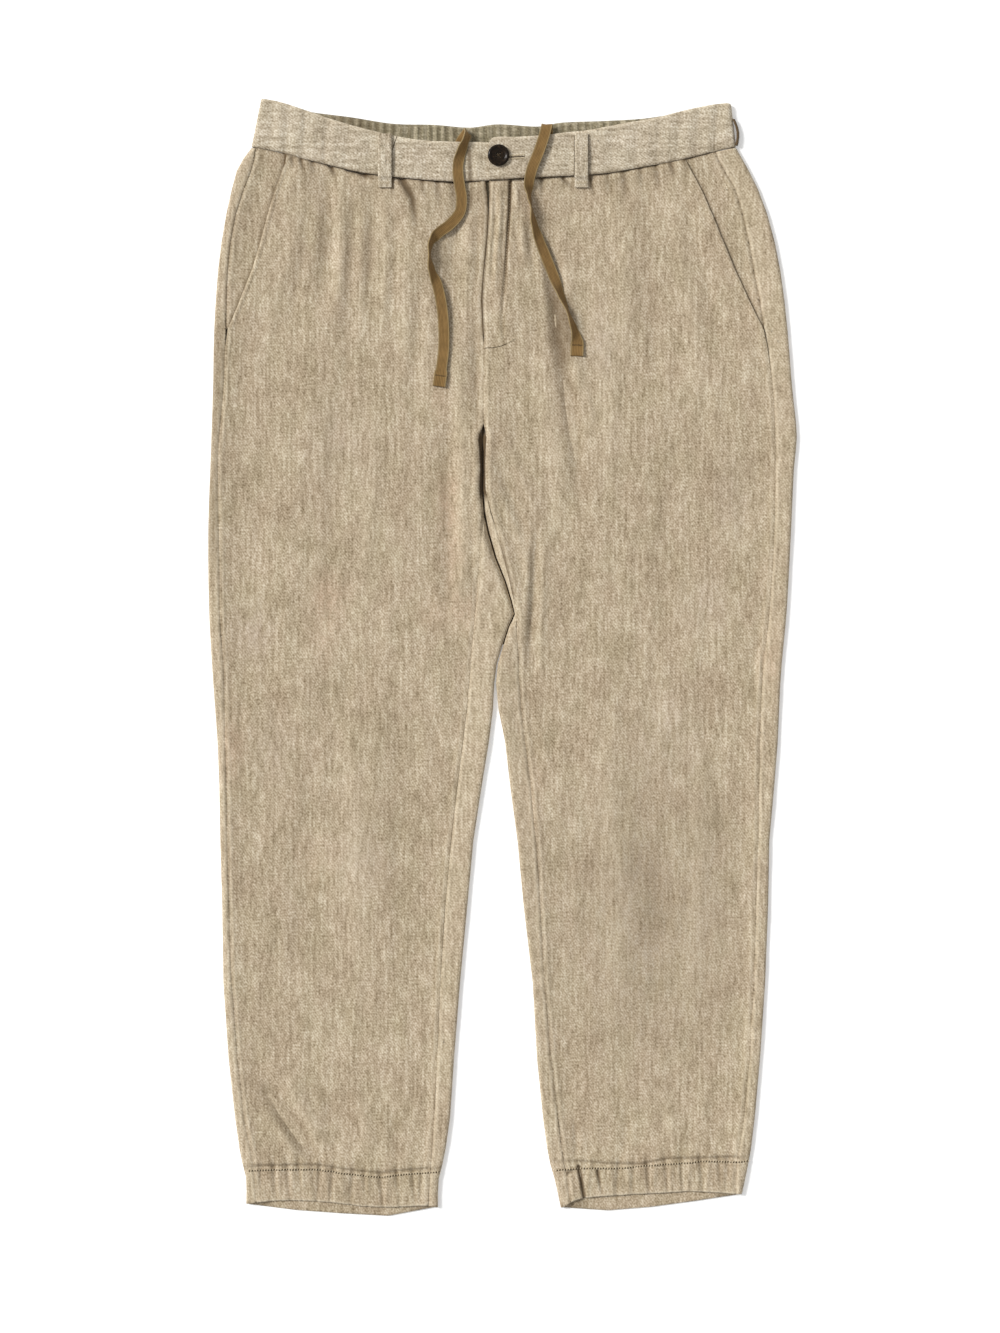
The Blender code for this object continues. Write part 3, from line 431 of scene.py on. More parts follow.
def linen_finish(name, yarns, worn=1.0, bold=1.0):
    """Heathered linen twill spun from dark, middle and pale yarns, with more or less contrast."""
    made, tree, shader = new_finish(name, {"Sheen Weight": 0.12, "Sheen Roughness": 0.55,
                                           "Specular IOR Level": 0.18})
    u, v = cloth_axes(tree)
    slubs, streaks, grain, weft, heather, blotch, clouds, warmth = (
        yarn_noise(u, v, *cell) for cell in YARN_NOISES.values())
    turn = 2.0 * math.pi / (TWILL_PITCH * MM)
    twill = ((u + v * TWILL_SLOPE) * turn + heather * 7.0 + grain * 1.5).wave()
    shade = (slubs * 0.26 + streaks * 0.22 + grain * 0.46 + weft * 0.2 + heather * 0.34 + blotch * 0.2
             + clouds * 0.2 + twill * 0.06 * (1.0 + heather * 2.0)) * bold + 0.49
    colour = ramp(shade, tuple(zip((0.08, 0.5, 0.94), yarns)))
    for lean, cast in ((1.6, GREENER), (-1.6, REDDER)):
        share = (warmth * lean + 0.1).held() * (0.3 + 0.2 * worn)
        colour = blend_colours(share, colour, cast, "MULTIPLY")
    ragged = 0.9 + heather * 2.4 + slubs * 1.2
    for patches, tint in TINTS:
        colour = blend_colours(patch_share(patches, ragged) * (0.42 * worn), colour, tint)
    # Paler and darker: the first attribute is rubbed wear together with painted highlight on ridges, seams and edges;
    # the second is painted shade in troughs, seams, grooves, slits and under other parts.
    wear, grime = (Wire.add(tree, "Attribute", {"attribute_name": kind}, {}, out="Fac")
                   for kind in ("wear", "grime"))
    colour = blend_colours((wear * (0.75 + slubs * 1.2)).held(), colour, WORN_AND_LIT_PALE)
    colour = blend_colours(grime.held(), colour, SHADED)
    height = grain * 0.6 + weft * 0.5 + slubs * 0.6 + twill * 0.3
    plug(shader, {"Base Color": colour, "Roughness": 0.9 - slubs * 0.2, "Normal": bump_of(height, 0.4, 0.3)})
    return made


linen = linen_finish("linen", OUTSIDE)
linen_band = linen_finish("linen_band", BAND, worn=0.0, bold=1.12)
# The shaded copy: the band's inner side, the fly shield and the side loop, all in shade.
linen_inside = linen_finish("linen_inside", INSIDE_SHADED, worn=0.0)
print("linen finishes:", len(linen.node_tree.nodes), "nodes each")

# %% [markdown]
# ## Tape, horn and thread
# The drawstring is a flat woven tape with fine ribs along it. Its edges are a paler, greener brown than
# its face. The button is polished dark horn, nearly black, with a few paler grains, and it alone shines.
# Threads are plain, and each one is far thinner than a pixel, so one soft colour with a little noise does.

# %% Finishes for the trimmings
TAPE_RIB, TAPE_PICK, TAPE_EDGE_FROM = 1.25, 0.9, 3.7
TAPE_BROWN, TAPE_SHADE, TAPE_EDGE = rgb(145, 113, 67), rgb(92, 71, 40), rgb(158, 140, 102)
HORN_STOPS = ((0.35, rgb(18, 12, 7)), (0.62, rgb(36, 26, 16)), (0.8, rgb(74, 56, 38)))


def tape_finish():
    made, tree, shader = new_finish("woven_tape", {"Sheen Weight": 0.1, "Specular IOR Level": 0.2})
    u, v = cloth_axes(tree)
    rib = (u * (2.0 * math.pi / (TAPE_RIB * MM))).wave()
    picks = (v * (2.0 * math.pi / (TAPE_PICK * MM)) + rib * 1.2).wave()
    mottle = yarn_noise(u, v, 2.0, 9.0, 0.53, 3.0)
    shade = (rib * 0.16 + picks * 0.07 + mottle * 0.9 + 0.62).held()
    colour = blend_colours(shade, TAPE_SHADE, TAPE_BROWN)
    edge = (u.maths("ABSOLUTE", u) * (1.0 / MM) - TAPE_EDGE_FROM).held()
    colour = blend_colours(edge * 0.6, colour, TAPE_EDGE)
    bump = bump_of(rib * 0.5 + picks * 0.5, 0.6, 0.15)
    plug(shader, {"Base Color": colour, "Roughness": 0.85 - mottle * 0.2, "Normal": bump})
    return made


def spotted(tree, **sockets):
    """Noise fixed to the object, for finishes without a cloth map."""
    at = Wire.add(tree, "TexCoord", {}, {}, out="Object")
    return Wire.add(tree, "TexNoise", {}, {"Vector": at, **sockets})


def horn_finish():
    made, tree, shader = new_finish("dark_horn", {"Coat Weight": 0.08, "Coat Roughness": 0.1,
                                                  "Specular IOR Level": 0.12})
    grain = spotted(tree, Scale=260.0, Detail=3.0, Distortion=1.6)
    plug(shader, {"Base Color": ramp(grain, HORN_STOPS), "Roughness": 0.24 + grain * 0.12})
    return made


def thread_finish(name, colour, darker):
    made, tree, shader = new_finish(name, {"Specular IOR Level": 0.25, "Roughness": 0.8})
    spun = spotted(tree, Scale=900.0, Detail=1.0)
    plug(shader, {"Base Color": blend_colours(spun, darker, colour)})
    return made


woven_tape = tape_finish()
horn = horn_finish()
pale_thread = thread_finish("pale_thread", rgb(222, 208, 180), rgb(176, 158, 126))
dark_thread = thread_finish("dark_thread", rgb(96, 78, 54), rgb(62, 48, 32))
# Dark marks of painted shade in needle holes, slits and beside the loops, and the button's real dark thread.
shade_and_thread_dark = thread_finish("needle_holes", rgb(84, 68, 48), rgb(58, 46, 31))
print("trimmings: tape, horn and 3 threads")

# %% [markdown]
# ## Helpers for pieces
# Every piece ends the same way: smooth shading, its finish, the frame's root body to ride on, the record's
# slot, and the solids that it stands for.

# %% Finish a piece
def points_of(mesh):
    """A mesh's points as rows of x, y and z."""
    values = np.empty(len(mesh.vertices) * 3, np.float32)
    mesh.vertices.foreach_get("co", values)
    return values.reshape(-1, 3).astype(float)


def set_points(mesh, points):
    mesh.vertices.foreach_set("co", points.astype(np.float32).ravel())
    mesh.update()


def set_cloth_map(mesh, u, v):
    """The UV map called cloth, from one u and one v, in metres, for each point of the mesh."""
    layer = mesh.uv_layers.new(name="cloth")
    corners = np.empty(len(mesh.loops), np.int32)
    mesh.loops.foreach_get("vertex_index", corners)
    layer.data.foreach_set("uv", np.stack([u[corners], v[corners]], 1).astype(np.float32).ravel())


def set_shades(mesh, **shades):
    """Two attributes that tell the finish how pale and how dark to be: wear with painted highlight, and painted shade.
    """
    for name, values in shades.items():
        layer = mesh.attributes.new(name, "FLOAT", "POINT")
        layer.data.foreach_set("value", values.astype(np.float32))


def finish_piece(name, mesh, finish, slot, *stands_for, sharp=55.0):
    """An object for a finished mesh, on the root body, standing for its solids."""
    mesh.shade_smooth()
    mesh.set_sharp_from_angle(angle=math.radians(sharp))
    mesh.materials.append(finish)
    piece = placed(name, mesh)
    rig.ride(piece, "root")
    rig.slot(piece, slot)
    if stands_for:
        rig.replaces(piece, *stands_for)
    return piece


def give_wall(piece, thick, offset):
    """A thickness in millimetres, centred on the face with offset 0 and under it with -1."""
    wall = piece.modifiers.new("wall", "SOLIDIFY")
    wall.thickness = thick * MM
    wall.offset = offset


def ease(t):
    """A smooth climb from 0 to 1."""
    t = np.clip(t, 0.0, 1.0)
    return t * t * (3.0 - 2.0 * t)


def grid_mesh(name, columns, rows):
    """A grid to shape, with the column and the row of each of its points."""
    shape = bmesh.new()
    bmesh.ops.create_grid(shape, x_segments=columns, y_segments=rows, size=1.0)
    mesh = mesh_of(name, shape)
    places = (points_of(mesh)[:, :2] + 1.0) / 2.0 * (columns, rows)
    return mesh, *np.rint(places).astype(int).T


# %% [markdown]
# ## Drawstring
# A drawstring is fixed in length, so its route comes first. Each end leaves its eyelet behind the front
# waistband, climbs over the band's edge, and runs down the fronts, turning on edge where it twists. The
# points are the frame's own route, with each section's lean from flat in degrees. They are measured from
# the hems, so the button's place shifts them. A strip of grid is bent along the smooth curve through them,
# ribbed, given its thickness, and folded back on itself at the tip, as a tape is hemmed.

# %% Routes
ROUTE_LEFT = (
    (-23.5, 982, 4.15, 0), (-21, 988.5, 4.2, 0), (-17.5, 993.6, 5, 12), (-15.2, 996.2, 7.2, 30),
    (-15.2, 993.2, 9.9, 52), (-17, 988, 10.9, 56), (-20.5, 979, 10.2, 36), (-23.6, 968, 8.8, 12),
    (-23.8, 958, 8.6, 3), (-22.3, 947, 8, 3), (-20.6, 936, 6.6, 4), (-22.2, 923, 6.3, 6),
    (-31, 912, 6.6, 10), (-42, 903.6, 7.4, 20), (-48.8, 895, 8.6, 66), (-50.2, 883.5, 9.4, 82),
    (-48, 869, 8.4, 52), (-43, 856, 6.6, 14), (-38.8, 836.5, 6.1, 3), (-37, 816.5, 5.7, 0),
    (-37, 798, 5.4, 0), (-38.8, 782, 5.6, 0), (-41.2, 764, 5.6, 0),
)
ROUTE_RIGHT = (
    (57, 984, 4.15, 0), (58.2, 992.5, 4.15, 0), (58.4, 999.5, 4.7, 0), (58, 1003.4, 6.6, 0),
    (57.2, 1000, 8.9, 0), (54.9, 991.5, 10, 0), (51.8, 982, 10.1, 0), (48.8, 974, 10.4, 2),
    (44.2, 962.4, 10.9, 4), (41.2, 949.5, 10, 24), (41.2, 937.5, 8.9, 70), (43.4, 926.5, 8.9, 82),
    (46, 912, 8.7, 54), (50.8, 897, 7.4, 26), (57.4, 880.5, 6.6, 12), (64, 864, 6.5, 14),
    (70.6, 847, 7.4, 50), (77, 831, 8.3, 74), (82.6, 816, 7.4, 50), (85.6, 804, 5.9, 10),
    (85.4, 792, 5.7, 0),
)
BUTTON_IN_ROUTE = Vector((0.0134, 0.9745, 0.0))
TAPE_WIDTH = 10.0
TAPE_WALL = 1.0
TAPE_PITCH = 1.3
TIP_LENGTH = 13.0
TIP_WIDTH = 12.0

button_low, button_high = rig.box("button")
button_middle = (button_low + button_high) / 2
route_shift = button_middle - BUTTON_IN_ROUTE
route_shift.z = 0.0


def smooth_route(lays):
    """Points every TAPE_PITCH on the smooth curve through the lays, and the lean at each."""
    route = [Vector((x * MM, y * MM, z * MM)) + route_shift for x, y, z, _ in lays]
    lean = [lay[3] for lay in lays]
    points, leans = [], []
    for k in range(len(route) - 1):
        a, b, c, d = (route[min(max(j, 0), len(route) - 1)] for j in range(k - 1, k + 3))
        count = max(2, round((c - b).length / (TAPE_PITCH * MM)))
        for t in (j / count for j in range(count)):
            points.append(0.5 * (2 * b + (c - a) * t + (2 * a - 5 * b + 4 * c - d) * t**2
                                 + (3 * b - a - 3 * c + d) * t**3))
            leans.append(lean[k] + (lean[k + 1] - lean[k]) * float(ease(t)))
    return points + [route[-1]], leans + [lean[-1]]


# %% Bend a strip along each route
FOLD_RADIUS = 0.62
FOLD_BACK = 10.5
TAPE_COLUMNS = 28
TURN_EASE = 4


def tape_frames(points, leans):
    """Middle, across, face and heading of the tape at each point."""
    last = len(points) - 1
    aheads = [(points[min(k + 1, last)] - points[max(k - 1, 0)]).normalized() for k in range(last + 1)]
    sides = [Vector((-ahead.y, ahead.x, 0.0)) * (1.0 if ahead.y < 0 else -1.0) for ahead in aheads]
    frames = []
    for k, (point, ahead) in enumerate(zip(points, aheads)):
        flat = sum(sides[max(k - TURN_EASE, 0):k + TURN_EASE + 1], Vector((0.0, 0.0, 0.0)))
        flat = (flat - ahead * flat.dot(ahead)).normalized()
        up = flat.cross(ahead).normalized()
        lean = math.radians(leans[k])
        across = flat * math.cos(lean) + up * math.sin(lean)
        face = up * math.cos(lean) - flat * math.sin(lean)
        frames.append((point, across, face, ahead))
    return frames


def drawstring(side, lays):
    """One end of the tape: a ribbed strip along its route, folded back at the tip."""
    name = "tape_" + side
    points, leans = smooth_route(lays)
    frames = tape_frames(points, leans)
    point, across, face, ahead = frames[-1]
    fold = [(point + ahead * math.sin(turn) * FOLD_RADIUS * MM
             + face * (1 - math.cos(turn)) * FOLD_RADIUS * MM, across, face, ahead)
            for turn in np.linspace(0.3, math.pi, 7)]
    steps = int(FOLD_BACK / TAPE_PITCH)
    back = [(point - ahead * (k * TAPE_PITCH * MM) + face * (2 * FOLD_RADIUS + 0.1 * (k == steps)) * MM,
             across, face, ahead) for k in range(1, steps + 1)]
    strip = frames + fold + back
    walked = np.cumsum([0.0] + [(q[0] - p[0]).length for p, q in zip(strip, strip[1:])])
    end = walked[len(frames) - 1]
    mesh, column, row = grid_mesh(name, TAPE_COLUMNS, len(strip) - 1)
    middles, acrosses, faces = (np.array([list(f[k]) for f in strip]) for k in range(3))
    share = column / TAPE_COLUMNS - 0.5
    tip = ease((walked - end + (TIP_LENGTH + 2.0) * MM) / (3.0 * MM))[row]
    wide = (TAPE_WIDTH + (TIP_WIDTH - TAPE_WIDTH) * tip) * MM
    ribs = 0.09 * MM * np.cos(2 * math.pi * share * TAPE_WIDTH / TAPE_RIB)
    curl = -0.25 * MM * (2 * share) ** 4
    set_points(mesh, middles[row] + acrosses[row] * (share * wide)[:, None]
               + faces[row] * (ribs + curl)[:, None])
    set_cloth_map(mesh, share * TAPE_WIDTH * MM, walked[row])
    piece = finish_piece(name, mesh, woven_tape, "tape", "drawstring_" + side)
    give_wall(piece, TAPE_WALL, 0.0)
    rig.cord(piece, exit=points[0], length=end, diameter=TAPE_WIDTH * MM, far_end="bare", stiffness="limp",
            lay="loose", path=points)
    print(name, "is", round(end / MM), "mm long")
    return piece, frames[-1]


tapes = [drawstring("left", ROUTE_LEFT), drawstring("right", ROUTE_RIGHT)]

# %% [markdown]
# ## Reading a panel's outline
# The fronts are what shows most, so each gets a new, even grid of its own in place of the solid's few long
# facets. A slice of the solid's upper faces at one height gives the panel's two side lines, and a slice at
# one width its waist and hem lines. The grid's columns then run between the side lines and its rows
# between waist and hem, so creases and seams can follow the cut. The solid gives each point its level.

# %% Slices
FACING_UP = 0.35
SLICES = 500


def merged(node):
    """A bmesh copy of a solid, with its loose triangles joined."""
    shape = bmesh.new()
    shape.from_mesh(node.data)
    bmesh.ops.remove_doubles(shape, verts=shape.verts[:], dist=1e-6)
    shape.normal_update()
    return shape


def crossings(ends, axis, level):
    """The least and greatest place where edges cross a level of one axis."""
    a, b = ends[:, 0], ends[:, 1]
    hit = (a[:, axis] - level) * (b[:, axis] - level) <= 0
    a, b = a[hit], b[hit]
    run = b[:, axis] - a[:, axis]
    share = (level - a[:, axis]) / np.where(np.abs(run) < 1e-9, 1e-9, run)
    at = a[:, 1 - axis] + np.clip(share, 0, 1) * (b[:, 1 - axis] - a[:, 1 - axis])
    return at.min(), at.max()


def outline_of(node):
    """The four border lines of a panel seen from above, as functions in metres."""
    shape = merged(node)
    edges = {edge for face in shape.faces if face.normal.z > FACING_UP for edge in face.edges}
    ends = np.array([[list(vert.co.xy) for vert in edge.verts] for edge in edges])
    shape.free()
    spots = ends.reshape(-1, 2)
    corner = {(i, j): spots[np.argmax(spots[:, 0] * 0.5 * i + spots[:, 1] * j)]
              for i in (-1, 1) for j in (-1, 1)}

    def border(axis, first, last):
        """The border from one corner to another, as a function of the place along this axis."""
        levels = np.linspace(corner[first][axis], corner[last][axis], SLICES)[1:-1]
        end = (first[1 - axis] + 1) // 2
        line = [crossings(ends, axis, level)[end] for level in levels]
        return lambda place: np.interp(place, levels, line)

    return {"left": border(1, (-1, -1), (-1, 1)), "right": border(1, (1, -1), (1, 1)),
            "low": border(0, (-1, -1), (1, -1)), "high": border(0, (-1, 1), (1, 1))}


def ticks(length, low, high, fine, coarse):
    """Places from 0 to 1 along a length, close together within low of its start and high of its end."""
    places = [0.0]
    while places[-1] < length:
        near = min(places[-1] - low, length - places[-1] - high)
        places.append(places[-1] + fine + (coarse - fine) * float(ease(near / 20.0)))
    return np.array(places[:-1] + [length]) / length


# %% [markdown]
# ## Creases
# Cloth that was worn and then smoothed by hand keeps soft troughs and ridges. Each is listed as a half width,
# a height, negative for a trough, and a line of a few points. A pleat starts at a seam and runs out. A fold runs
# out at both ends. A seam keeps its depth all along. Lengths, depths and spacing are uneven, as hands and
# elastic leave them.

# %% Crease tables
PLEATS = (
    # left hip, under the waistband
    (2, -0.9, (-221.2, 465.1), (-217.6, 457)), (2.2, -0.7, (-212, 464.1), (-206.4, 453.9)),
    (1.6, -1.2, (-200.1, 460.5), (-201, 449.3)), (1.9, -0.7, (-193.6, 458.7), (-191.8, 448.3)),
    (1.7, -0.8, (-185.4, 456.9), (-182, 446.6)), (2.1, -0.6, (-175.2, 455), (-172, 443.7)),
    (1.6, -1.3, (-158.9, 453.6), (-152.5, 441.3)),
    (2, -1.4, (-142.3, 449.5), (-128.8, 445.5), (-113.8, 438.4)), (1.8, -0.9, (-131, 447.5), (-124, 439)),
    (3, -1.4, (-94.3, 442.6), (-82.8, 423.2), (-78.6, 390.5)), (2.4, -0.7, (-101.5, 440), (-100, 424)),
    (2.2, -0.5, (-74, 439), (-70, 421)), (2.6, -0.5, (-60, 438), (-57.5, 414)),
    (2.4, -0.4, (-46, 437), (-43, 409)),
    # down the fly's stitches
    (1.5, -0.9, (7.4, 438), (6.6, 412.6), (4.3, 381.3), (2.3, 353), (-0.6, 316.9)),
    # right hip
    (2.2, -0.6, (36, 440), (36.5, 418)), (1.8, -0.8, (55.7, 440.4), (62.1, 434.7), (66.8, 429)),
    (1.8, -0.8, (80.5, 440.8), (85.2, 424.5)), (2.6, -0.5, (97, 443), (99, 424)),
    (3, -0.5, (112, 445), (114, 420)), (2.4, -0.5, (127, 448), (129, 431)),
    (2.6, -0.6, (141, 451), (145.5, 430)), (2, -0.7, (155, 453.5), (159.5, 441)),
    (2, -0.6, (167, 457), (171, 445)), (1.8, -0.7, (181, 461), (185, 450)),
    (2, -0.7, (196, 464), (201, 452)),
    # right hem
    (1.5, -1.5, (70.2, -468.6), (72.4, -480.7), (74.9, -497)),
    (1.6, -1.2, (75.6, -499), (73.6, -486), (70.8, -471)), (1.4, -1.1, (87.6, -472.5), (91.5, -494.7)),
    (1.6, -0.8, (57.9, -475.2), (69.5, -470)),
)
FOLDS = (
    # left hip and thigh
    (3.4, 0.8, (-138, 441), (-130, 435), (-120, 431)),
    (7, -1.5, (-161, 446), (-163.3, 427.7), (-162.4, 384.1), (-169.7, 318.9)),
    (6.5, 1.2, (-150, 444), (-149.5, 424.7), (-147.6, 374.9), (-153.2, 304.5)),
    (5.5, -0.9, (-138.4, 430.9), (-140.3, 365.7), (-144, 292.3)),
    (5.5, 0.8, (-129.8, 432.5), (-128.4, 365.7), (-132.1, 288.1)),
    (5, -1, (-120.9, 436.5), (-121.7, 393), (-124.7, 318.9)),
    (6, 0.9, (-108.2, 432.5), (-106.5, 374.9), (-110.3, 296.5)),
    (5, -0.8, (-99.6, 417), (-100.6, 360), (-106.3, 285)), (8, 0.8, (-86, 392), (-88, 328), (-92, 240)),
    (7, -0.5, (-76, 372), (-79, 301.3), (-84, 208.5)),
    (8, 0.6, (-64.7, 385.7), (-68.3, 301.3), (-72.9, 208.5)),
    (6, 0.5, (-186.3, 436.1), (-193.6, 384.1), (-208.4, 328.9), (-221.2, 268.9)),
    (5, -0.6, (-178, 420), (-184, 368), (-197, 300)), (9, -0.5, (-150, 270), (-158, 170), (-162, 60)),
    (11, 0.6, (-118, 250), (-125, 150), (-128, 20)), (4.5, 0.7, (-31, 426), (-32.7, 365.7), (-34.6, 291.3)),
    (5, -0.8, (-42.8, 420.3), (-46.4, 365.7), (-49.3, 300.5)),
    (3.5, -0.6, (-22.8, 420), (-23.6, 380), (-25, 330)),
    (5, -1.3, (-23.6, 318), (-25.3, 282.9), (-23.5, 240.2), (-22, 208)),
    (7, 1.2, (-37.8, 306), (-39.1, 268.2), (-37.8, 180), (-36.3, 99.8), (-38, 30)),
    (7, -1.1, (-52.5, 236), (-51, 190.9), (-51, 98.9), (-54, 40)),
    # fly
    (2.4, 0.9, (-2.7, 436.5), (-2.3, 407.1), (-4.6, 379.5), (-7.4, 334.1)),
    (1.9, -0.7, (-7.7, 436), (-7, 405.3), (-10.2, 345.9)),
    (1.8, -0.5, (2.3, 432.5), (1.1, 384.1), (-1.6, 340.3)), (2.6, 0.8, (12.6, 436), (13, 425), (14.1, 410)),
    (3, 0.9, (16.4, 404.5), (17.8, 386), (19.9, 362.9)),
    (2.8, -0.9, (22.6, 424.9), (25.3, 384.1), (29.1, 349.5)),
    (3.6, 0.6, (31.8, 404.3), (35.4, 356.5), (42.9, 300.5)),
    # right thigh
    (6.5, -2, (36.4, 408.5), (45.6, 365.7), (46.2, 328.9), (50.7, 291.2), (61.2, 234.1), (67.6, 191.8),
     (70.4, 130.8)),
    (6, 0.9, (57.4, 380.5), (61.6, 328.9), (68.7, 270.2), (79, 200)),
    (2.6, 1, (75.8, 247.3), (79.6, 233), (83.4, 218.2)),
    (9, 0.8, (32.5, 307.5), (39.9, 246.9), (49.2, 181.7), (54.9, 112.5)),
    (12, 0.8, (89.7, 348.9), (95.4, 255.3), (98.2, 150.5)),
    (9, 0.7, (106.1, 436.1), (110.8, 347.3), (110, 240.3)),
    (9, -0.8, (130.1, 438.9), (134.7, 328.9), (140, 250)),
    (8, 0.8, (150.3, 440.9), (168.5, 348.9), (183.7, 240.3)), (6, -0.6, (163, 435), (184, 360), (203, 270)),
    (14, -0.5, (150, 240), (146, 100), (150, -40)),
    (1.8, -0.5, (138.3, 144.9), (167.9, 147), (199.5, 145.4)),
    (2.4, 0.3, (138.3, 148.6), (167.9, 150.8), (199.5, 149)),
    (3, 0.8, (233.2, 6.3), (237.2, -14), (237.2, -34.9)),
    # between the thighs
    (4, -0.7, (-9.6, 186.5), (3.2, 158.1), (25.3, 108.1)),
    (4.5, 0.8, (-6.9, 160.9), (10.8, 121.3), (29.2, 62.1)), (4, 0.7, (1, 204), (16, 168), (33, 128)),
    (4.5, -0.6, (-29.9, 99.7), (-22.5, 52.9), (-15.5, 6.1)), (4, 0.6, (-19, 120), (-14, 70), (-9, 24)),
    (3.2, -1.5, (32.3, 124.5), (29.8, 95), (28.1, 55.7), (23.5, -12.1)),
    (3.6, 0.7, (24.6, 126.5), (22.6, 71.3), (18.9, -1)), (3.6, 0.7, (39, 110), (36.5, 50), (33, -30)),
    # left shin and ankle
    (7.5, -3.2, (-222, -390), (-202.1, -420.3), (-188.2, -437.7), (-172.9, -464.5)),
    (5, 1.1, (-212, -428), (-200, -441), (-190, -460)),
    (7.5, 1.6, (-200.3, -388.1), (-181.7, -418.7), (-161.1, -453.1)),
    (8, -0.6, (-178, -380), (-160, -410), (-148, -446)), (7, 0.7, (-132, -400), (-126, -430), (-122, -458)),
    (6, -0.6, (-104, -410), (-100, -436), (-98, -462)), (14, -0.6, (-190, -60), (-182, -180), (-184, -300)),
    (13, 0.7, (-140, -40), (-136, -180), (-140, -330)), (11, -0.5, (-96, -30), (-96, -150), (-104, -280)),
    # right shin and ankle
    (12, 0.7, (92, -60), (104, -190), (112, -320)), (12, -0.6, (134, -90), (140, -220), (142, -350)),
    (11, 0.6, (180, -60), (182, -200), (178, -330)),
    (3.2, -0.9, (66.4, -420.4), (67.9, -451.3), (66.4, -466.1)),
    (5, -0.6, (112, -410), (114, -440), (110, -461)), (6, 0.6, (150, -400), (156, -432), (152, -457)),
    (5, -0.5, (190, -400), (194, -430), (192, -456)),
    (2.2, -0.8, (214.7, -458.5), (221, -461), (227.8, -459.8)),
)
FLY_STITCHES = ((6.9, 436.6), (6.6, 412.6), (4.3, 381.3), (2.3, 353), (-0.6, 316.9), (-0.4, 303), (1, 292.1))
FLY_FOOT = ((-16.3, 284.7), (-9, 285), (-2.3, 286.2), (4.5, 289), (10.6, 293))
HEM_GROOVES = {
    "left": ((-230.9, -468.4), (-205, -468.1), (-170.8, -467.6), (-140.5, -472.4), (-112.7, -475.1),
             (-97, -473.2), (-64.7, -470.6)),
    "right": ((69.4, -464.1), (95.2, -466.2), (126.5, -466.9), (153.2, -461.9), (172.8, -461.7),
              (215.4, -460.4), (236, -459)),
}
SEAMS = ((1.3, -0.8, *FLY_STITCHES), (1, -0.8, *FLY_FOOT),
         *((1.7, -1.2, *HEM_GROOVES[side]) for side in SIDES))
# A tape that stands on its edge keeps the light off the cloth beside it. These rows paint that shadow; they only
# darken.
SHADES = (
    (8, 0.55, (54, 344), (58, 313.3), (61.6, 294.9), (62.8, 266)),
    (3.6, 0.42, (44.6, 346), (47.8, 317.9), (50.6, 294.9), (54.3, 276.5), (58.5, 258)),
    (1.8, 0.6, (-29.4, 439), (-28.6, 421), (-30.5, 406)),
)
# The left tape's shadow on the waistband, painted as shade.
BAND_SHADE = ((-31, 468), (-30.4, 455), (-29.6, 438))
print("creases:", len(PLEATS), "pleats,", len(FOLDS), "folds and", len(SEAMS), "seams")

# %% How high a crease stands
def line_distance(x, y, line):
    """Distance of places from a line of points, and how far along it each one lies, from 0 to 1."""
    near = np.full(x.shape, np.inf)
    along = np.zeros(x.shape)
    walked = 0.0
    for (ax, ay), (bx, by) in zip(line, line[1:]):
        length = math.hypot(bx - ax, by - ay)
        share = np.clip(((x - ax) * (bx - ax) + (y - ay) * (by - ay)) / length**2, 0, 1)
        gap = np.hypot(x - ax - share * (bx - ax), y - ay - share * (by - ay))
        along = np.where(gap < near, walked + share * length, along)
        near = np.minimum(gap, near)
        walked += length
    return near, along / walked


def creases_at(x, y, creases, taper):
    """The height, in millimetres, that a table of creases gives at each place."""
    total = np.zeros(x.shape)
    for wide, high, *line in creases:
        near, along = line_distance(x, y, line)
        total += high * np.exp(-(near / wide) ** 2) * taper(along)
    return total


def pleat_taper(along):
    return (1.0 - along) ** 0.8


def fold_taper(along):
    return np.sin(math.pi * along) ** 0.7


# %% [markdown]
# Between the creases linen is never quite flat. Broad waves of a few tenths of a millimetre and a finer
# cockle, longer up the leg than across it, break up the light. They are sums of sine waves with fixed
# random turns, so the same waves come out each time.

# %% Rumple
WAVES = 16


def rumple(x, y, size, seed):
    """Waves about 0 with lengths near size millimetres, a little longer up the leg."""
    chance = random.Random(seed)
    total = np.zeros(x.shape)
    for _ in range(WAVES):
        turn = chance.uniform(0.0, math.pi)
        length = size * chance.uniform(0.6, 1.7)
        phase = chance.uniform(0.0, 2.0 * math.pi)
        total += np.sin((x * math.cos(turn) + 0.5 * y * math.sin(turn)) * 2 * math.pi / length + phase)
    return total / math.sqrt(WAVES)


# %% [markdown]
# Each hem is turned up and sewn. The stitch line pulls a groove, and between it and the edge the doubled
# cloth puckers into short upright troughs and ridges, some of which run on a little above the stitches.

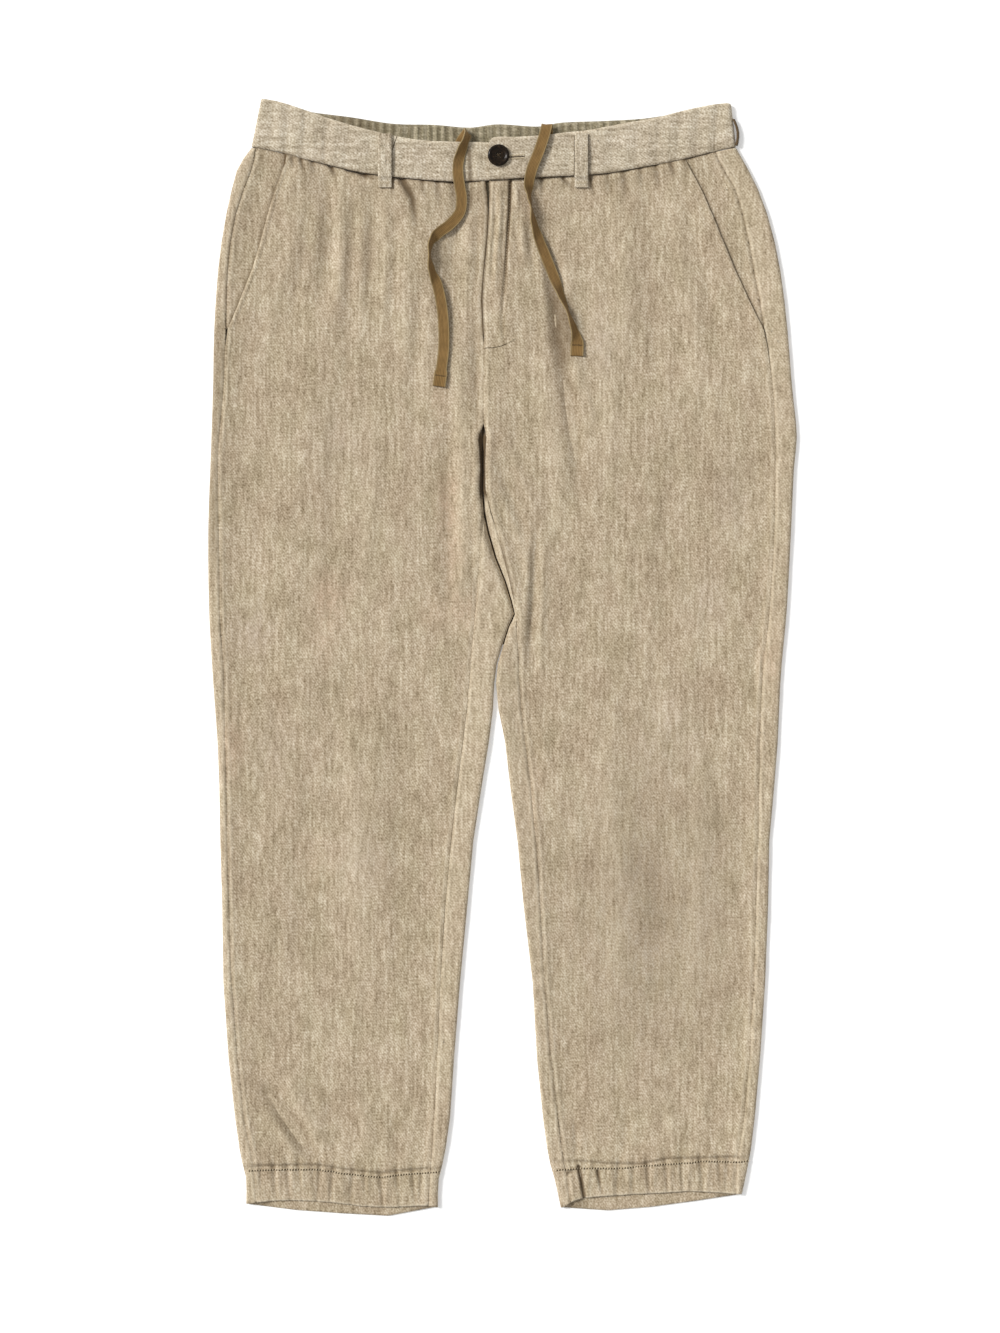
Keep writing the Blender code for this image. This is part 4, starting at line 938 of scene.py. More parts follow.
# %% Hem puckers
# Each has its place across the leg, its half width and its height.
PUCKERS_LEFT = (
    (-222, 2.4, -0.6), (-210.7, 2.2, -1), (-205.1, 2.6, 0.6), (-198.3, 1.9, -0.9), (-192.5, 2.4, 0.5),
    (-187.6, 1.8, -0.8), (-183.5, 2.2, 0.6), (-175, 2.2, -0.6), (-167.9, 2, -1), (-162.9, 2.2, 0.6),
    (-155.9, 1.8, -0.9), (-148.6, 2.6, 0.5), (-137.5, 2.2, -0.9), (-127.4, 1.8, -0.7), (-123.3, 2, 0.6),
    (-112.7, 2, -1.1), (-105, 2.2, 0.4), (-97.5, 1.9, -0.9), (-94.3, 1.8, 0.5), (-83.2, 2.2, -0.9),
    (-74, 1.8, -0.6),
)
PUCKERS_RIGHT = (
    (80.5, 2, 0.6), (98.9, 2.2, 0.5), (107, 2, -0.9), (114.5, 2.2, 0.5), (121, 1.8, -0.5), (132.8, 2, -1),
    (140.5, 2.4, 0.5), (149.5, 1.9, -0.9), (156, 2.2, 0.5), (163.8, 1.8, -0.9), (172.5, 2.2, 0.5),
    (181.7, 2, -1), (190, 2.2, 0.5), (198.3, 1.8, -0.7), (207.5, 2.2, -0.6), (218, 1.8, 0.4),
    (225, 1.8, -0.6),
)
PUCKERS = {"left": PUCKERS_LEFT, "right": PUCKERS_RIGHT}
HEM_DEPTH = 24.0


def above_groove(side, x, y):
    """How far a place lies above the stitches of a hem."""
    line = np.array(HEM_GROOVES[side])
    return y - np.interp(x, line[:, 0], line[:, 1])


def pucker_height(side, x, y):
    """Troughs and ridges of a hem, deepest at the stitches and running out above them."""
    above = above_groove(side, x, y)
    reach = np.where(above > 0, np.exp(-(above / 7.0) ** 2) * 0.6, 1.0 + 0.45 * above / HEM_DEPTH)
    total = np.zeros(x.shape)
    for k, (place, wide, high) in enumerate(PUCKERS[side]):
        slant = 0.09 * (-1) ** k * above
        total += high * np.exp(-((x - place - slant) / wide) ** 2)
    return total * np.clip(reach, 0.0, 1.0)


# %% [markdown]
# ## The two fronts
# Each front is the grid, laid at the level of its solid, with the relief on top. The solids leave hairline
# gaps at every seam, so the cloth's borders are moved outward to close them, and dip there, because sewn
# cloth folds down into its seam and puffs up beside it. Ridges and folded edges are painted paler, partly as
# wear and partly as painted highlight, and troughs, seams and grooves get painted shade; two attributes tell
# the finish how much of each. A Solidify modifier gives the wall, downwards, so that the face stays where the
# solid's face is.

# %% Drape a grid over a front
CLOTH_WALL = 0.9
# The grid's cells: close together near the borders, this far in from the left, right, hem and waist.
FINE, WIDEST, LONGEST = 1.1, 1.9, 5.5
LEFT_FINE, RIGHT_FINE, HEM_FINE, WAIST_FINE = {"left": 12.0, "right": 40.0}, 12.0, 40.0, 30.0
SMOOTHINGS, KEPT_BORDER = 26, 7.0
FOLD_GAIN, PLEAT_GAIN, PUCKER_GAIN = 1.3, 2.0, 1.5
SEAM_COVER, FLY_COVER, CROTCH_COVER, WAIST_COVER = 0.45, 0.12, 1.0, 0.42
POCKET_FOOT, FLY_END = 304.0, 290.0
CROTCH_LOW, CROTCH_HIGH = -20.0, 205.0
OUTLINES = {kind + side: outline_of(nodes[kind + side])
            for kind in ("front_", "pocket_facing_", "waistband_") for side in SIDES}


def in_crotch(y):
    """1 between the thighs, where the inner seams lie flat, fading out above and below."""
    return ease((y - CROTCH_LOW) / 30.0) * ease((CROTCH_HIGH + 6.0 - y) / 6.0)


def ridge(distance, wide, middle=0.0):
    """A soft ridge across a distance: 1 at its middle, fading over its half width."""
    return np.exp(-((distance - middle) / wide) ** 2)


def level_on(tree, x, y):
    """Height of the solid under a place, in metres. Just outside it, the height of its border."""
    hit = tree.ray_cast(Vector((x, y, 0.1)), Vector((0.0, 0.0, -1.0)))[0]
    return (hit or tree.find_nearest(Vector((x, y, 0.004)))[0]).z


def smoothed(levels, hold):
    """A table of heights with the solid's facets blurred away, except where hold is 1."""
    calm = levels.copy()
    for _ in range(SMOOTHINGS):
        wide = np.pad(calm, 1, mode="edge")
        calm = (wide[:-2, 1:-1] + wide[2:, 1:-1] + wide[1:-1, :-2] + wide[1:-1, 2:]) / 8 + calm / 2
        calm = hold * levels + (1 - hold) * calm
    return calm


def front_relief(side, x, y, inner, outer, to_waist, to_hem):
    """Height of the cloth over its solid in millimetres, with how pale it is from wear and painted highlight, and its
    painted shade.
    """
    soft = FOLD_GAIN * creases_at(x, y, FOLDS, fold_taper)
    pleats = PLEAT_GAIN * creases_at(x, y, PLEATS, pleat_taper)
    tight = pleats + PUCKER_GAIN * pucker_height(side, x, y)
    sewn = creases_at(x, y, SEAMS, np.ones_like)
    calm = 1.0 - 0.6 * np.exp(-to_hem / 30.0)
    waves = 0.36 * rumple(x, y, 62.0, 5) * calm + 0.15 * rumple(x, y, 19.0, 8) + 0.05 * rumple(x, y, 8.0, 13)
    high = soft + tight + sewn + waves
    mouth = ease((y - POCKET_FOOT) / 5.0)
    seam = np.minimum(inner, outer + 90.0 * mouth)
    sunk = 1.0 - 0.75 * in_crotch(y) * (inner < outer)
    high += 0.45 * ridge(to_waist, 4.0, 5.0) - 0.6 * ridge(to_waist, 1.2)
    high += 0.32 * ridge(seam, 2.0, 3.4) - 0.5 * sunk * ridge(seam, 1.1)
    high += mouth * (0.5 * ridge(outer, 2.4, 2.2) - 0.35 * ridge(outer, 0.7))
    high += 0.35 * ridge(to_hem, 2.0, 2.5) - 0.35 * ridge(to_hem, 1.0)
    fly, down = line_distance(x, y, FLY_STITCHES)
    patchy = np.clip(0.5 + 0.35 * rumple(x, y, 26.0, 17), 0.1, 1.0)
    # Paler along the seams, the pocket mouth, the hem's lip and on ridges: partly rubbed wear, partly painted
    # highlight.
    wear = (0.36 * ridge(seam, 1.2, 2.5) + 0.3 * mouth * ridge(outer, 0.8, 0.9)
            + 0.95 * ridge(to_hem, 1.3, 0.6) + 0.14 * np.clip(soft + tight, 0.0, 1.4))
    # Painted shade: along the waist seam, the seams, the fly's groove and its edge, above the hem's stitches, in
    # troughs and pleats, and beside the tapes.
    at_fly = 0.7 * ridge(inner, 1.1) + 0.2 * ridge(inner, 6.0) * (side == "left")
    grime = (patchy * (0.95 * ridge(to_waist, 1.0) + 0.3 * sunk * ridge(seam, 0.8))
             + 0.95 * ridge(fly, 1.0) * (1.0 - 0.55 * down)
             + 0.42 * ridge(above_groove(side, x, y), 1.5, 1.3) + at_fly * ease((y - FLY_END) / 8.0)
             + 0.13 * np.clip(-soft, 0.0, 1.8) + 0.3 * np.clip(-tight, 0.0, 1.6)
             + 0.3 * np.clip(-pleats, 0.0, 1.4) + creases_at(x, y, SHADES, fold_taper))
    if side == "left":
        high -= 0.2 * ridge(outer, 0.9, 4.7)
        # At the top of the left pocket's mouth, painted shade along its edge and less paleness beside it.
        top = ease((y - 412.0) / 15.0)
        grime += 0.8 * ridge(outer, 1.0, 0.2) * top
        wear *= 1.0 - 0.8 * ridge(outer, 2.0, 0.9) * top
    else:
        # Painted shade along the right front's edge, in the slit between the thighs.
        grime += 0.75 * ridge(inner, 1.4) * ease((112.0 - y) / 15.0) * ease((y - 48.0) / 8.0)
    quiet = ease(inner / 2.0) * ease(outer / 2.0)
    return np.where(quiet < 1, np.maximum(high, -0.8) * (0.35 + 0.65 * quiet), high), wear, grime


def front(side):
    """A front: the face grid over its solid, with creases, wear and a wall."""
    node = nodes["front_" + side]
    lines = OUTLINES[node.name]
    low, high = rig.box(node.name)
    places = ticks((high.x - low.x) / MM, LEFT_FINE[side], RIGHT_FINE, FINE, WIDEST)
    steps = ticks((high.y - low.y) / MM, HEM_FINE, WAIST_FINE, FINE, LONGEST)
    mesh, column, row = grid_mesh("cloth_front_" + side, len(places) - 1, len(steps) - 1)
    across, along = places[column], steps[row]
    x = low.x + across * (high.x - low.x)
    for _ in range(6):
        y = lines["low"](x) + along * (lines["high"](x) - lines["low"](x))
        x = lines["left"](y) + across * (lines["right"](y) - lines["left"](y))
    shape = merged(node)
    tree = BVHTree.FromBMesh(shape)
    shape.free()
    levels = np.zeros((len(steps), len(places)))
    levels[row, column] = [level_on(tree, px, py) for px, py in zip(x, y)]
    outer = (lines[side](y) - x) * OUTWARD[side] / MM
    inner = (x - lines[OTHER[side]](y)) * OUTWARD[side] / MM
    to_waist, to_hem = (lines["high"](x) - y) / MM, (y - lines["low"](x)) / MM
    hold = np.zeros_like(levels)
    border = np.minimum(np.minimum(inner, outer), np.minimum(to_waist, to_hem))
    hold[row, column] = 1.0 - ease(border / KEPT_BORDER)
    calm = smoothed(levels, hold)[row, column]
    x, y = x / MM, y / MM
    rise, wear, grime = front_relief(side, x, y, inner, outer, to_waist, to_hem)
    outer_cover = SEAM_COVER * (1.0 - ease((y - POCKET_FOOT) / 5.0))
    inner_cover = FLY_COVER + (SEAM_COVER - FLY_COVER) * (1.0 - ease((y - FLY_END + 5.0) / 5.0))
    inner_cover += (CROTCH_COVER - SEAM_COVER) * in_crotch(y)
    x += OUTWARD[side] * (outer_cover * (1 - ease(outer / 1.5)) - inner_cover * (1 - ease(inner / 1.5)))
    y += (WAIST_COVER + 0.16 * rumple(x, 0.0 * y, 15.0, 19)) * (1 - ease(to_waist / 1.5))
    set_points(mesh, np.stack([x * MM, y * MM, calm + rise * MM], 1))
    set_cloth_map(mesh, x * MM, y * MM)
    set_shades(mesh, wear=wear, grime=grime)
    piece = finish_piece("cloth_front_" + side, mesh, linen, "linen", node.name, sharp=80.0)
    give_wall(piece, CLOTH_WALL, -1.0)
    print(piece.name, len(places), "columns,", len(steps), "rows")
    return piece


fronts = {side: front(side) for side in SIDES}

# %% [markdown]
# ## Backs, bands and small cuts
# The other cuts show only in strips, so they keep their solid's form. A copy of the solid is merged and its
# long edges are cut until none is longer than a few millimetres. Cutting long facets leaves slivers, which
# shade as dark specks, so the flat parts get a better net of triangles. Smoothing the heights alone then
# rounds the facets off without moving the outline. A look function moves each point, and gives it wear with
# painted highlight and painted shade.

# %% Refine a solid's copy
# Each point's move, how pale it is from wear and painted highlight, and its painted shade.
Look = namedtuple("Look", "dx dy dz wear grime", defaults=(0.0, 0.0, 0.0, 0.0, 0.0))
FLAT_TURN = 0.12


def refined(node, pitch, passes, zone, side):
    """A merged copy with no edge longer than its pitch, in millimetres, and its upper faces smoothed."""
    shape = merged(node)
    bmesh.ops.triangulate(shape, faces=shape.faces[:])
    for _ in range(9):
        ends = np.array([[*edge.verts[0].co, *edge.verts[1].co] for edge in shape.edges]) / MM
        length = np.linalg.norm(ends[:, 3:] - ends[:, :3], axis=1)
        over = length > pitch * zone(side, *((ends[:, 3:] + ends[:, :3]) / 2).T)
        long = [edge for edge, cut in zip(shape.edges, over) if cut]
        if not long:
            break
        bmesh.ops.subdivide_edges(shape, edges=long, cuts=1)
        bmesh.ops.triangulate(shape, faces=[face for face in shape.faces if len(face.verts) > 3])
    shape.normal_update()
    flat = [edge for edge in shape.edges if edge.calc_face_angle(9.0) < FLAT_TURN]
    bmesh.ops.beautify_fill(shape, faces=shape.faces[:], edges=flat)
    shape.normal_update()
    soft = [vert for vert in shape.verts
            if vert.normal.z > 0.5 and all(edge.calc_face_angle(0.0) < math.radians(40)
                                           for edge in vert.link_edges)]
    for _ in range(passes):
        bmesh.ops.smooth_vert(shape, verts=soft, factor=0.5, use_axis_z=True)
    shape.normal_update()
    return shape


def even_zone(side, x, y, z):
    return 1.0


def cut_piece(name, node_name, pitch, passes, finish, look_of, side=None, zone=even_zone, turned=False):
    """A refined copy of a solid as a finished piece, with its look and its cloth map."""
    shape = refined(nodes[node_name], pitch, passes, zone, side)
    facing = np.array([max(0.0, vert.normal.z) for vert in shape.verts])
    mesh = mesh_of(name, shape)
    x, y, z = points_of(mesh).T / MM
    look = look_of(side, x, y)
    rise = look.dz * ease((facing - 0.3) / 0.5)
    set_points(mesh, np.stack([x + look.dx, y + look.dy, z + rise], 1) * MM)
    low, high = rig.box(node_name)
    bent = x + np.sign(x - (low.x + high.x) / 2 / MM) * (4.0 - z)
    set_cloth_map(mesh, *((y * MM, bent * MM) if turned else (bent * MM, y * MM)))
    set_shades(mesh, wear=look.wear + 0.0 * x, grime=look.grime + 0.0 * x)
    piece = finish_piece(name, mesh, finish, "linen", node_name, sharp=50.0)
    print(name, len(mesh.polygons), "faces")
    return piece


# %% Backs
def beyond(side, x, y):
    """How far a place lies outside a front's side seam, its inner seam and its hem, in millimetres."""
    lines, facing = OUTLINES["front_" + side], OUTLINES["pocket_facing_" + side]
    outer = np.where(y > POCKET_FOOT, facing[side](y * MM), lines[side](y * MM)) / MM
    inner = lines[OTHER[side]](y * MM) / MM
    return (x - outer) * OUTWARD[side], (inner - x) * OUTWARD[side], lines["low"](x * MM) / MM - y


def back_look(side, x, y):
    """Small waves, a dip beside each seam and a puff next to it; painted shade in the seams, down the slit's throat,
    above the hem and in its inner corners, and paler puffs from wear and painted highlight.
    """
    outer, inner, below = beyond(side, x, y)
    seam = np.minimum(np.abs(outer), np.abs(inner))
    hem = above_groove(side, x, y)
    high = 0.16 * rumple(x, y, 34.0, 21) + 0.08 * rumple(x, y, 12.0, 22)
    high += 0.3 * ridge(seam, 1.7, 3.2) - 0.42 * ridge(seam, 1.0) - 0.5 * ridge(hem, 1.7)
    top = ease((y - 60.0) / 240.0)
    corner = np.minimum(np.abs(outer + 6.0), np.abs(inner + 6.0))
    inside = ease(below / 1.5)
    flat = in_crotch(y) * (inner > outer)
    throat = flat * ease((y - 142.0) / 10.0) * ease((inner - 0.1) / 0.5)
    # Painted shade along the seams, in the slit's throat, at the hem's groove and in the hem's inner corners.
    grime = ((0.25 + 0.35 * top) * ridge(seam, 0.9) * (1.0 - flat) + throat
             + 0.4 * ridge(hem, 1.4, 0.6) + inside * 0.5 * ridge(corner, 9.0))
    if side == "left":
        # Painted shade on the left's side strip, where the cloth rounds away from the light.
        grime += 0.3 * ease(outer / 3.0) * ease((y - 60.0) / 60.0) * ease((340.0 - y) / 60.0)
    # Paler puffs beside the seams and a little paleness all over: partly wear, partly painted highlight.
    wear = 0.3 * ridge(seam, 1.3, 2.8) + 0.12
    high *= (1.0 - inside) * (1.0 - 0.7 * flat)
    return Look(dz=high - 0.8 * throat, wear=wear * (1.0 - inside) * (1.0 - throat), grime=grime)


def back_zone(side, x, y, z):
    """Fine beside the seams, middling where the backs show, and four times coarser below."""
    outer, inner, _ = beyond(side, x, y)
    near = (np.minimum(np.abs(outer - 1.5), np.abs(inner - 1.5)) < 4.0) & (z > 2.4)
    shows = (z > 2.4) | (y < -470) | (y > 440)
    return np.where(near, 0.45, np.where(shows, 1.0, 4.0))


backs = {side: cut_piece("cloth_back_" + side, "back_" + side, 5.0, 5, linen, back_look, side, back_zone)
         for side in SIDES}

# %% [markdown]
# Between the thighs the legs part in a narrow slit. Deep inside it lies a flat dark strip, painted shade that stands
# for the seat's cloth in the dark.

# %% Painted shade in the slit
SLIT = ((-17, 217), (-18.3, 203.8), (-18.7, 156.6), (-17.1, 131.9), (-8.1, 96), (3.1, 69), (9.5, 46), (9, 36),
        (5.3, 24.1), (1, 12))
SLIT_REACH, SLIT_LEVEL = 6.0, 0.9

mesh, column, row = grid_mesh("seat_in_slit", 1, len(SLIT) - 1)
line = np.array(SLIT)[row]
set_points(mesh, np.stack([line[:, 0] + (2 * column - 1) * SLIT_REACH, line[:, 1],
                           SLIT_LEVEL + 0.0 * row], 1) * MM)
finish_piece("seat_in_slit", mesh, shade_and_thread_dark, "linen")
print("slit:", len(mesh.polygons), "faces")

# %% [markdown]
# The waistband is cut with its grain along it, so its slubs lie flat. It is folded over wide elastic at the
# sides and the tape's channel in front, which leaves shallow upright ripples. The back of the band shows
# its inner side, ribbed by the elastic and greyer, and lies in shade, so it takes a darker, shaded copy of
# the linen, with painted shade between its ribs and a painted highlight on them.

# %% Waistband
# Each ripple has its place along the band, its half width and its height.
RIPPLES = (
    (-214, 3.4, -0.5), (-206, 3, 0.35), (-199, 2.6, -0.45), (-190, 3.4, 0.4), (-183, 2.2, -0.4),
    (-174, 3.6, 0.3), (-163, 2.6, -0.5), (-155, 3.4, 0.35), (-144, 2.8, -0.35), (-133, 4, 0.3),
    (-122, 3, -0.35), (-99, 2.6, -0.3), (-84, 4.5, 0.3), (-70, 3.2, -0.3), (-54, 4, 0.3), (-38, 3.4, -0.3),
    (-22, 3.6, 0.3), (-8, 3, -0.2), (24, 3.6, 0.3), (36, 3, -0.4), (50, 4, 0.3), (62, 2.8, -0.3),
    (90, 3.6, 0.3), (101, 2.8, -0.35), (112, 3.6, 0.3), (123, 2.6, -0.4), (133, 3.4, 0.35),
    (143, 2.6, -0.4), (152, 3.2, 0.4), (161, 2.4, -0.45), (170, 3.2, 0.4), (179, 2.4, -0.45), (188, 3, 0.4),
    (196, 2.6, -0.5), (205, 3, 0.4),
)


def band_look(side, x, y):
    """Upright ripples of the band, with a little rumple; painted shade at its foot by the waist seam, in the ripples'
    troughs and beside the left tape, and paler ripple tops and head, from wear and painted highlight.
    """
    total = 0.16 * rumple(x, y, 30.0, 31) + 0.09 * rumple(x, y, 9.0, 32)
    for place, wide, high in RIPPLES:
        total += high * ridge(x, wide, place + 0.06 * (y - 475))
    lines = OUTLINES["waistband_" + side]
    foot, head = y - lines["low"](x * MM) / MM, lines["high"](x * MM) / MM - y
    total -= 0.3 * ridge(foot, 1.4)
    return Look(dz=total, wear=0.3 * ridge(head, 1.5, 1.2) + 0.16 * np.clip(total, 0.0, 1.0),
                grime=0.4 * ridge(foot, 1.0) + 0.16 * np.clip(-total, 0.0, 1.0)
                + 0.75 * ridge(line_distance(x, y, BAND_SHADE)[0], 2.2))


def inside_look(side, x, y):
    """The inner side of the back band: ribs of the elastic, with painted highlight on them and painted shade between
    them, and more painted shade near the left, where the front sags over it.
    """
    ribs = np.sin(2 * math.pi * x / 8.2 + 1.5 * rumple(x, 0.0 * y, 45.0, 44))
    return Look(dz=0.06 * rumple(x, y, 9.0, 41), wear=0.28 * np.clip(ribs, 0.0, 1.0),
                grime=0.04 - 0.24 * np.clip(ribs, -1.0, 0.0) + 0.3 * ridge(x, 42.0, -140.0))


bands = {side: cut_piece("cloth_band_" + side, "waistband_" + side, 2.8, 4, linen_band, band_look, side,
                         turned=True) for side in SIDES}
cut_piece("cloth_band_back", "waistband_back", 3.2, 1, linen_inside, inside_look, turned=True)


# %% Facings, fly shield and loops
def facing_look(side, x, y):
    """A pocket facing: its outer border closes the side seam, and painted shade lies beside the mouth, in the seam and
    at the waist.
    """
    lines, mouth = OUTLINES["pocket_facing_" + side], OUTLINES["front_" + side][side]
    to_border = (lines[side](y * MM) / MM - x) * OUTWARD[side]
    from_mouth = (x - mouth(y * MM) / MM) * OUTWARD[side]
    to_waist = lines["high"](x * MM) / MM - y
    return Look(dx=OUTWARD[side] * SEAM_COVER * (1 - ease(to_border / 1.5)),
                dy=WAIST_COVER * (1 - ease(to_waist / 1.5)),
                dz=(0.08 * rumple(x, y, 11.0, 51) + 0.3 * ridge(to_border, 2.0, 3.4)
                    - 0.45 * ridge(to_border, 1.1)),
                wear=0.2 * ridge(to_border, 1.4, 2.8),
                grime=(0.5 * ridge(from_mouth, 2.6) + 0.5 * ridge(to_border, 0.8)
                       + 0.5 * ridge(to_waist, 0.9)))


def loop_look(side, x, y):
    return Look(dz=0.05 * rumple(x, y, 7.0, 61))


for side in SIDES:
    cut_piece("cloth_facing_" + side, "pocket_facing_" + side, 2.2, 4, linen, facing_look, side)
# The fly shield shows only in the dark of the fly's opening, so it is painted in shade all over.
cut_piece("cloth_fly_shield", "fly_shield", 3.0, 2, linen_inside, lambda side, x, y: Look(grime=0.5))
loops = {side: cut_piece("cloth_belt_loop_" + side, "belt_loop_" + side, 1.6, 1, linen_band, loop_look)
         for side in SIDES}
# The side loop is seen on its edge in its own shadow, so it is painted in shade, a little less at its middle.
cut_piece("cloth_belt_loop_side", "belt_loop_side", 1.3, 2, linen_inside,
          lambda side, x, y: Look(grime=1.0 - 0.25 * ridge(x, 1.0, 218.0)))

# %% [markdown]
# ## Button
# A four-hole horn button is turned on a lathe, so its half profile is spun round: a flat back, a round rim
# and a dished middle. The holes are cut with a Boolean, and thread crosses between them.

# %% Turn and drill the button
HOLE_RADIUS, HOLE_OUT = 0.95, 2.05
HOLES = [(HOLE_OUT * math.cos(turn), HOLE_OUT * math.sin(turn))
         for turn in (math.radians(45 + 90 * k) for k in range(4))]
BUTTON_PROFILE = (
    (0.0, 0.0), (8.6, 0.0), (9.5, 0.35), (10.0, 1.2), (9.9, 2.1), (9.4, 2.8), (8.7, 3.15), (8.0, 3.2),
    (7.4, 2.95), (6.9, 2.55), (6.2, 2.25), (4.6, 2.1), (0.0, 2.05),
)

shape = bmesh.new()
line = [shape.verts.new(Vector((out, 0.0, up)) * MM) for out, up in BUTTON_PROFILE]
edges = [shape.edges.new(pair) for pair in zip(line, line[1:])]
bmesh.ops.spin(shape, geom=line + edges, cent=(0, 0, 0), axis=(0, 0, 1), angle=2 * math.pi, steps=64,
               use_merge=True)
bmesh.ops.remove_doubles(shape, verts=shape.verts[:], dist=1e-6)
bmesh.ops.recalc_face_normals(shape, faces=shape.faces[:])
bmesh.ops.translate(shape, verts=shape.verts[:], vec=(button_middle.x, button_middle.y, button_low.z))
blank = placed("button_blank", mesh_of("button_blank", shape))

shape = bmesh.new()
for x, y in HOLES:
    place = Matrix.Translation((button_middle.x + x * MM, button_middle.y + y * MM, button_low.z + 1.6 * MM))
    bmesh.ops.create_cone(shape, cap_ends=True, segments=20, radius1=HOLE_RADIUS * MM,
                          radius2=HOLE_RADIUS * MM, depth=6.0 * MM, matrix=place)
drill = placed("drill", mesh_of("drill", shape))
cut = blank.modifiers.new("holes", "BOOLEAN")
cut.operation = "DIFFERENCE"
cut.object = drill
bpy.context.view_layer.update()
drilled = bpy.data.meshes.new_from_object(blank.evaluated_get(bpy.context.evaluated_depsgraph_get()))
drilled.name = "horn_button"
bpy.data.objects.remove(blank)
bpy.data.objects.remove(drill)
finish_piece("horn_button", drilled, horn, "horn_button", "button", sharp=40.0)
print("button:", len(drilled.polygons), "faces")

# %% [markdown]
# ## Stitches
# A stitch is a short thread that dips into the cloth at both ends. One stretched icosphere does for each,
# and a row of them walks along a line on the cloth's own surface. A long row would be a lot of objects, so
# every row is joined into one mesh as it is made.

# %% Sew along a line
def surface_of(*pieces):
    """Trees of the finished surfaces, modifiers included, to lay stitches on."""
    graph = bpy.context.evaluated_depsgraph_get()
    return [BVHTree.FromObject(piece, graph) for piece in pieces]


def top_of(trees, x, y):
    """Highest surface under a place in millimetres, or None beside them all."""
    hits = [tree.ray_cast(Vector((x * MM, y * MM, 0.1)), Vector((0, 0, -1)))[0] for tree in trees]
    found = [hit.z for hit in hits if hit is not None]
    return max(found) / MM if found else None


def walk(line, pitch):
    """Places every pitch along a line, with the direction at each."""
    left = pitch / 2
    for (ax, ay), (bx, by) in zip(line, line[1:]):
        length = math.hypot(bx - ax, by - ay)
        while left < length:
            share = left / length
            yield ax + (bx - ax) * share, ay + (by - ay) * share, math.atan2(by - ay, bx - ax)
            left += pitch
        left -= length


def add_stitch(shape, x, y, z, turn, length, thick):
    """One thread, as a stretched icosphere lying at z."""
    place = (Matrix.Translation(Vector((x, y, z)) * MM) @ Matrix.Rotation(turn, 4, "Z")
             @ Matrix.Diagonal((length / 2, thick / 2, thick / 2, 1.0)))
    bmesh.ops.create_icosphere(shape, subdivisions=1, radius=MM, matrix=place)


def sew(shape, trees, line, pitch, length, thick, lift=0.0, across=0.0, sway=0.0, seed=1):
    """A row of threads along a line. across turns each thread off the line, in degrees."""
    chance = random.Random(seed)
    for x, y, turn in walk(line, pitch):
        z = top_of(trees, x, y)
        if z is None:
            continue
        off = chance.uniform(-sway, sway)
        turned = turn + math.radians(across + chance.uniform(-6, 6))
        add_stitch(shape, x - math.sin(turn) * off, y + math.cos(turn) * off, z + lift, turned,
                   length * chance.uniform(0.85, 1.12), thick)


def stitch_piece(name, shape, finish, slot="linen"):
    mesh = mesh_of(name, shape)
    finish_piece(name, mesh, finish, slot, sharp=80.0)
    print(name, len(mesh.polygons), "faces")


# %% Hem stitches
HEM_STITCHES = (
    ((-235, -471.9), (-226.9, -471.7), (-205, -471.2), (-170.8, -471), (-140.5, -475.6), (-112.7, -478.3),
     (-97, -476.1), (-66.7, -473.7), (-58, -473)),
    ((48, -471.5), (71.5, -470), (108.3, -470), (126.3, -468.1), (159.9, -465.5), (185.8, -463.6),
     (215.4, -464.1), (230, -462.6)),
)
front_trees = surface_of(*fronts.values())
leg_trees = front_trees + surface_of(*backs.values())
pale, dark = bmesh.new(), bmesh.new()
for seed, line in enumerate(HEM_STITCHES):
    sew(pale, leg_trees, line, 2.5, 2.2, 1.0, lift=0.12, across=78.0, sway=0.2, seed=seed)
    # Beside each pale stitch a dark one paints the shade in its needle hole.
    shifted = [(x + 1.25, y - 0.1) for x, y in line]
    sew(dark, leg_trees, shifted, 2.5, 2.2, 1.1, across=72.0, sway=0.2, seed=seed + 7)
stitch_piece("stitches_hem", pale, pale_thread)
stitch_piece("needle_holes_hem", dark, shade_and_thread_dark)

# %% Fly stitches
# The curved line of the fly, its foot with a bartack, and the seam below it.
FLY_TACK = ((4.2, 288.4), (7.0, 290.4), (11.2, 293.4))
SEAM_BELOW_FLY = ((-14.6, 283.0), (-14.2, 262.0), (-13.5, 236.0), (-13.2, 207.0))
pale, dark = bmesh.new(), bmesh.new()
sew(pale, front_trees, FLY_STITCHES, 2.6, 1.9, 0.4, lift=0.05, seed=3)
sew(pale, front_trees, FLY_FOOT, 2.4, 1.7, 0.36, lift=0.05, seed=4)
sew(pale, front_trees, FLY_TACK, 0.9, 2.8, 0.6, lift=0.14, across=78.0, sway=0.2, seed=5)
sew(pale, front_trees, SEAM_BELOW_FLY, 3.0, 1.5, 0.4, lift=0.05, seed=6)
# The dark rows paint the shade in the needle holes and in the groove of the fly's foot.
sew(dark, front_trees, FLY_STITCHES, 2.6, 0.8, 0.42, lift=-0.1, seed=8)
sew(dark, front_trees, FLY_FOOT, 1.2, 1.4, 0.9, seed=9)
stitch_piece("stitches_fly", pale, pale_thread)
stitch_piece("needle_holes_fly", dark, shade_and_thread_dark)

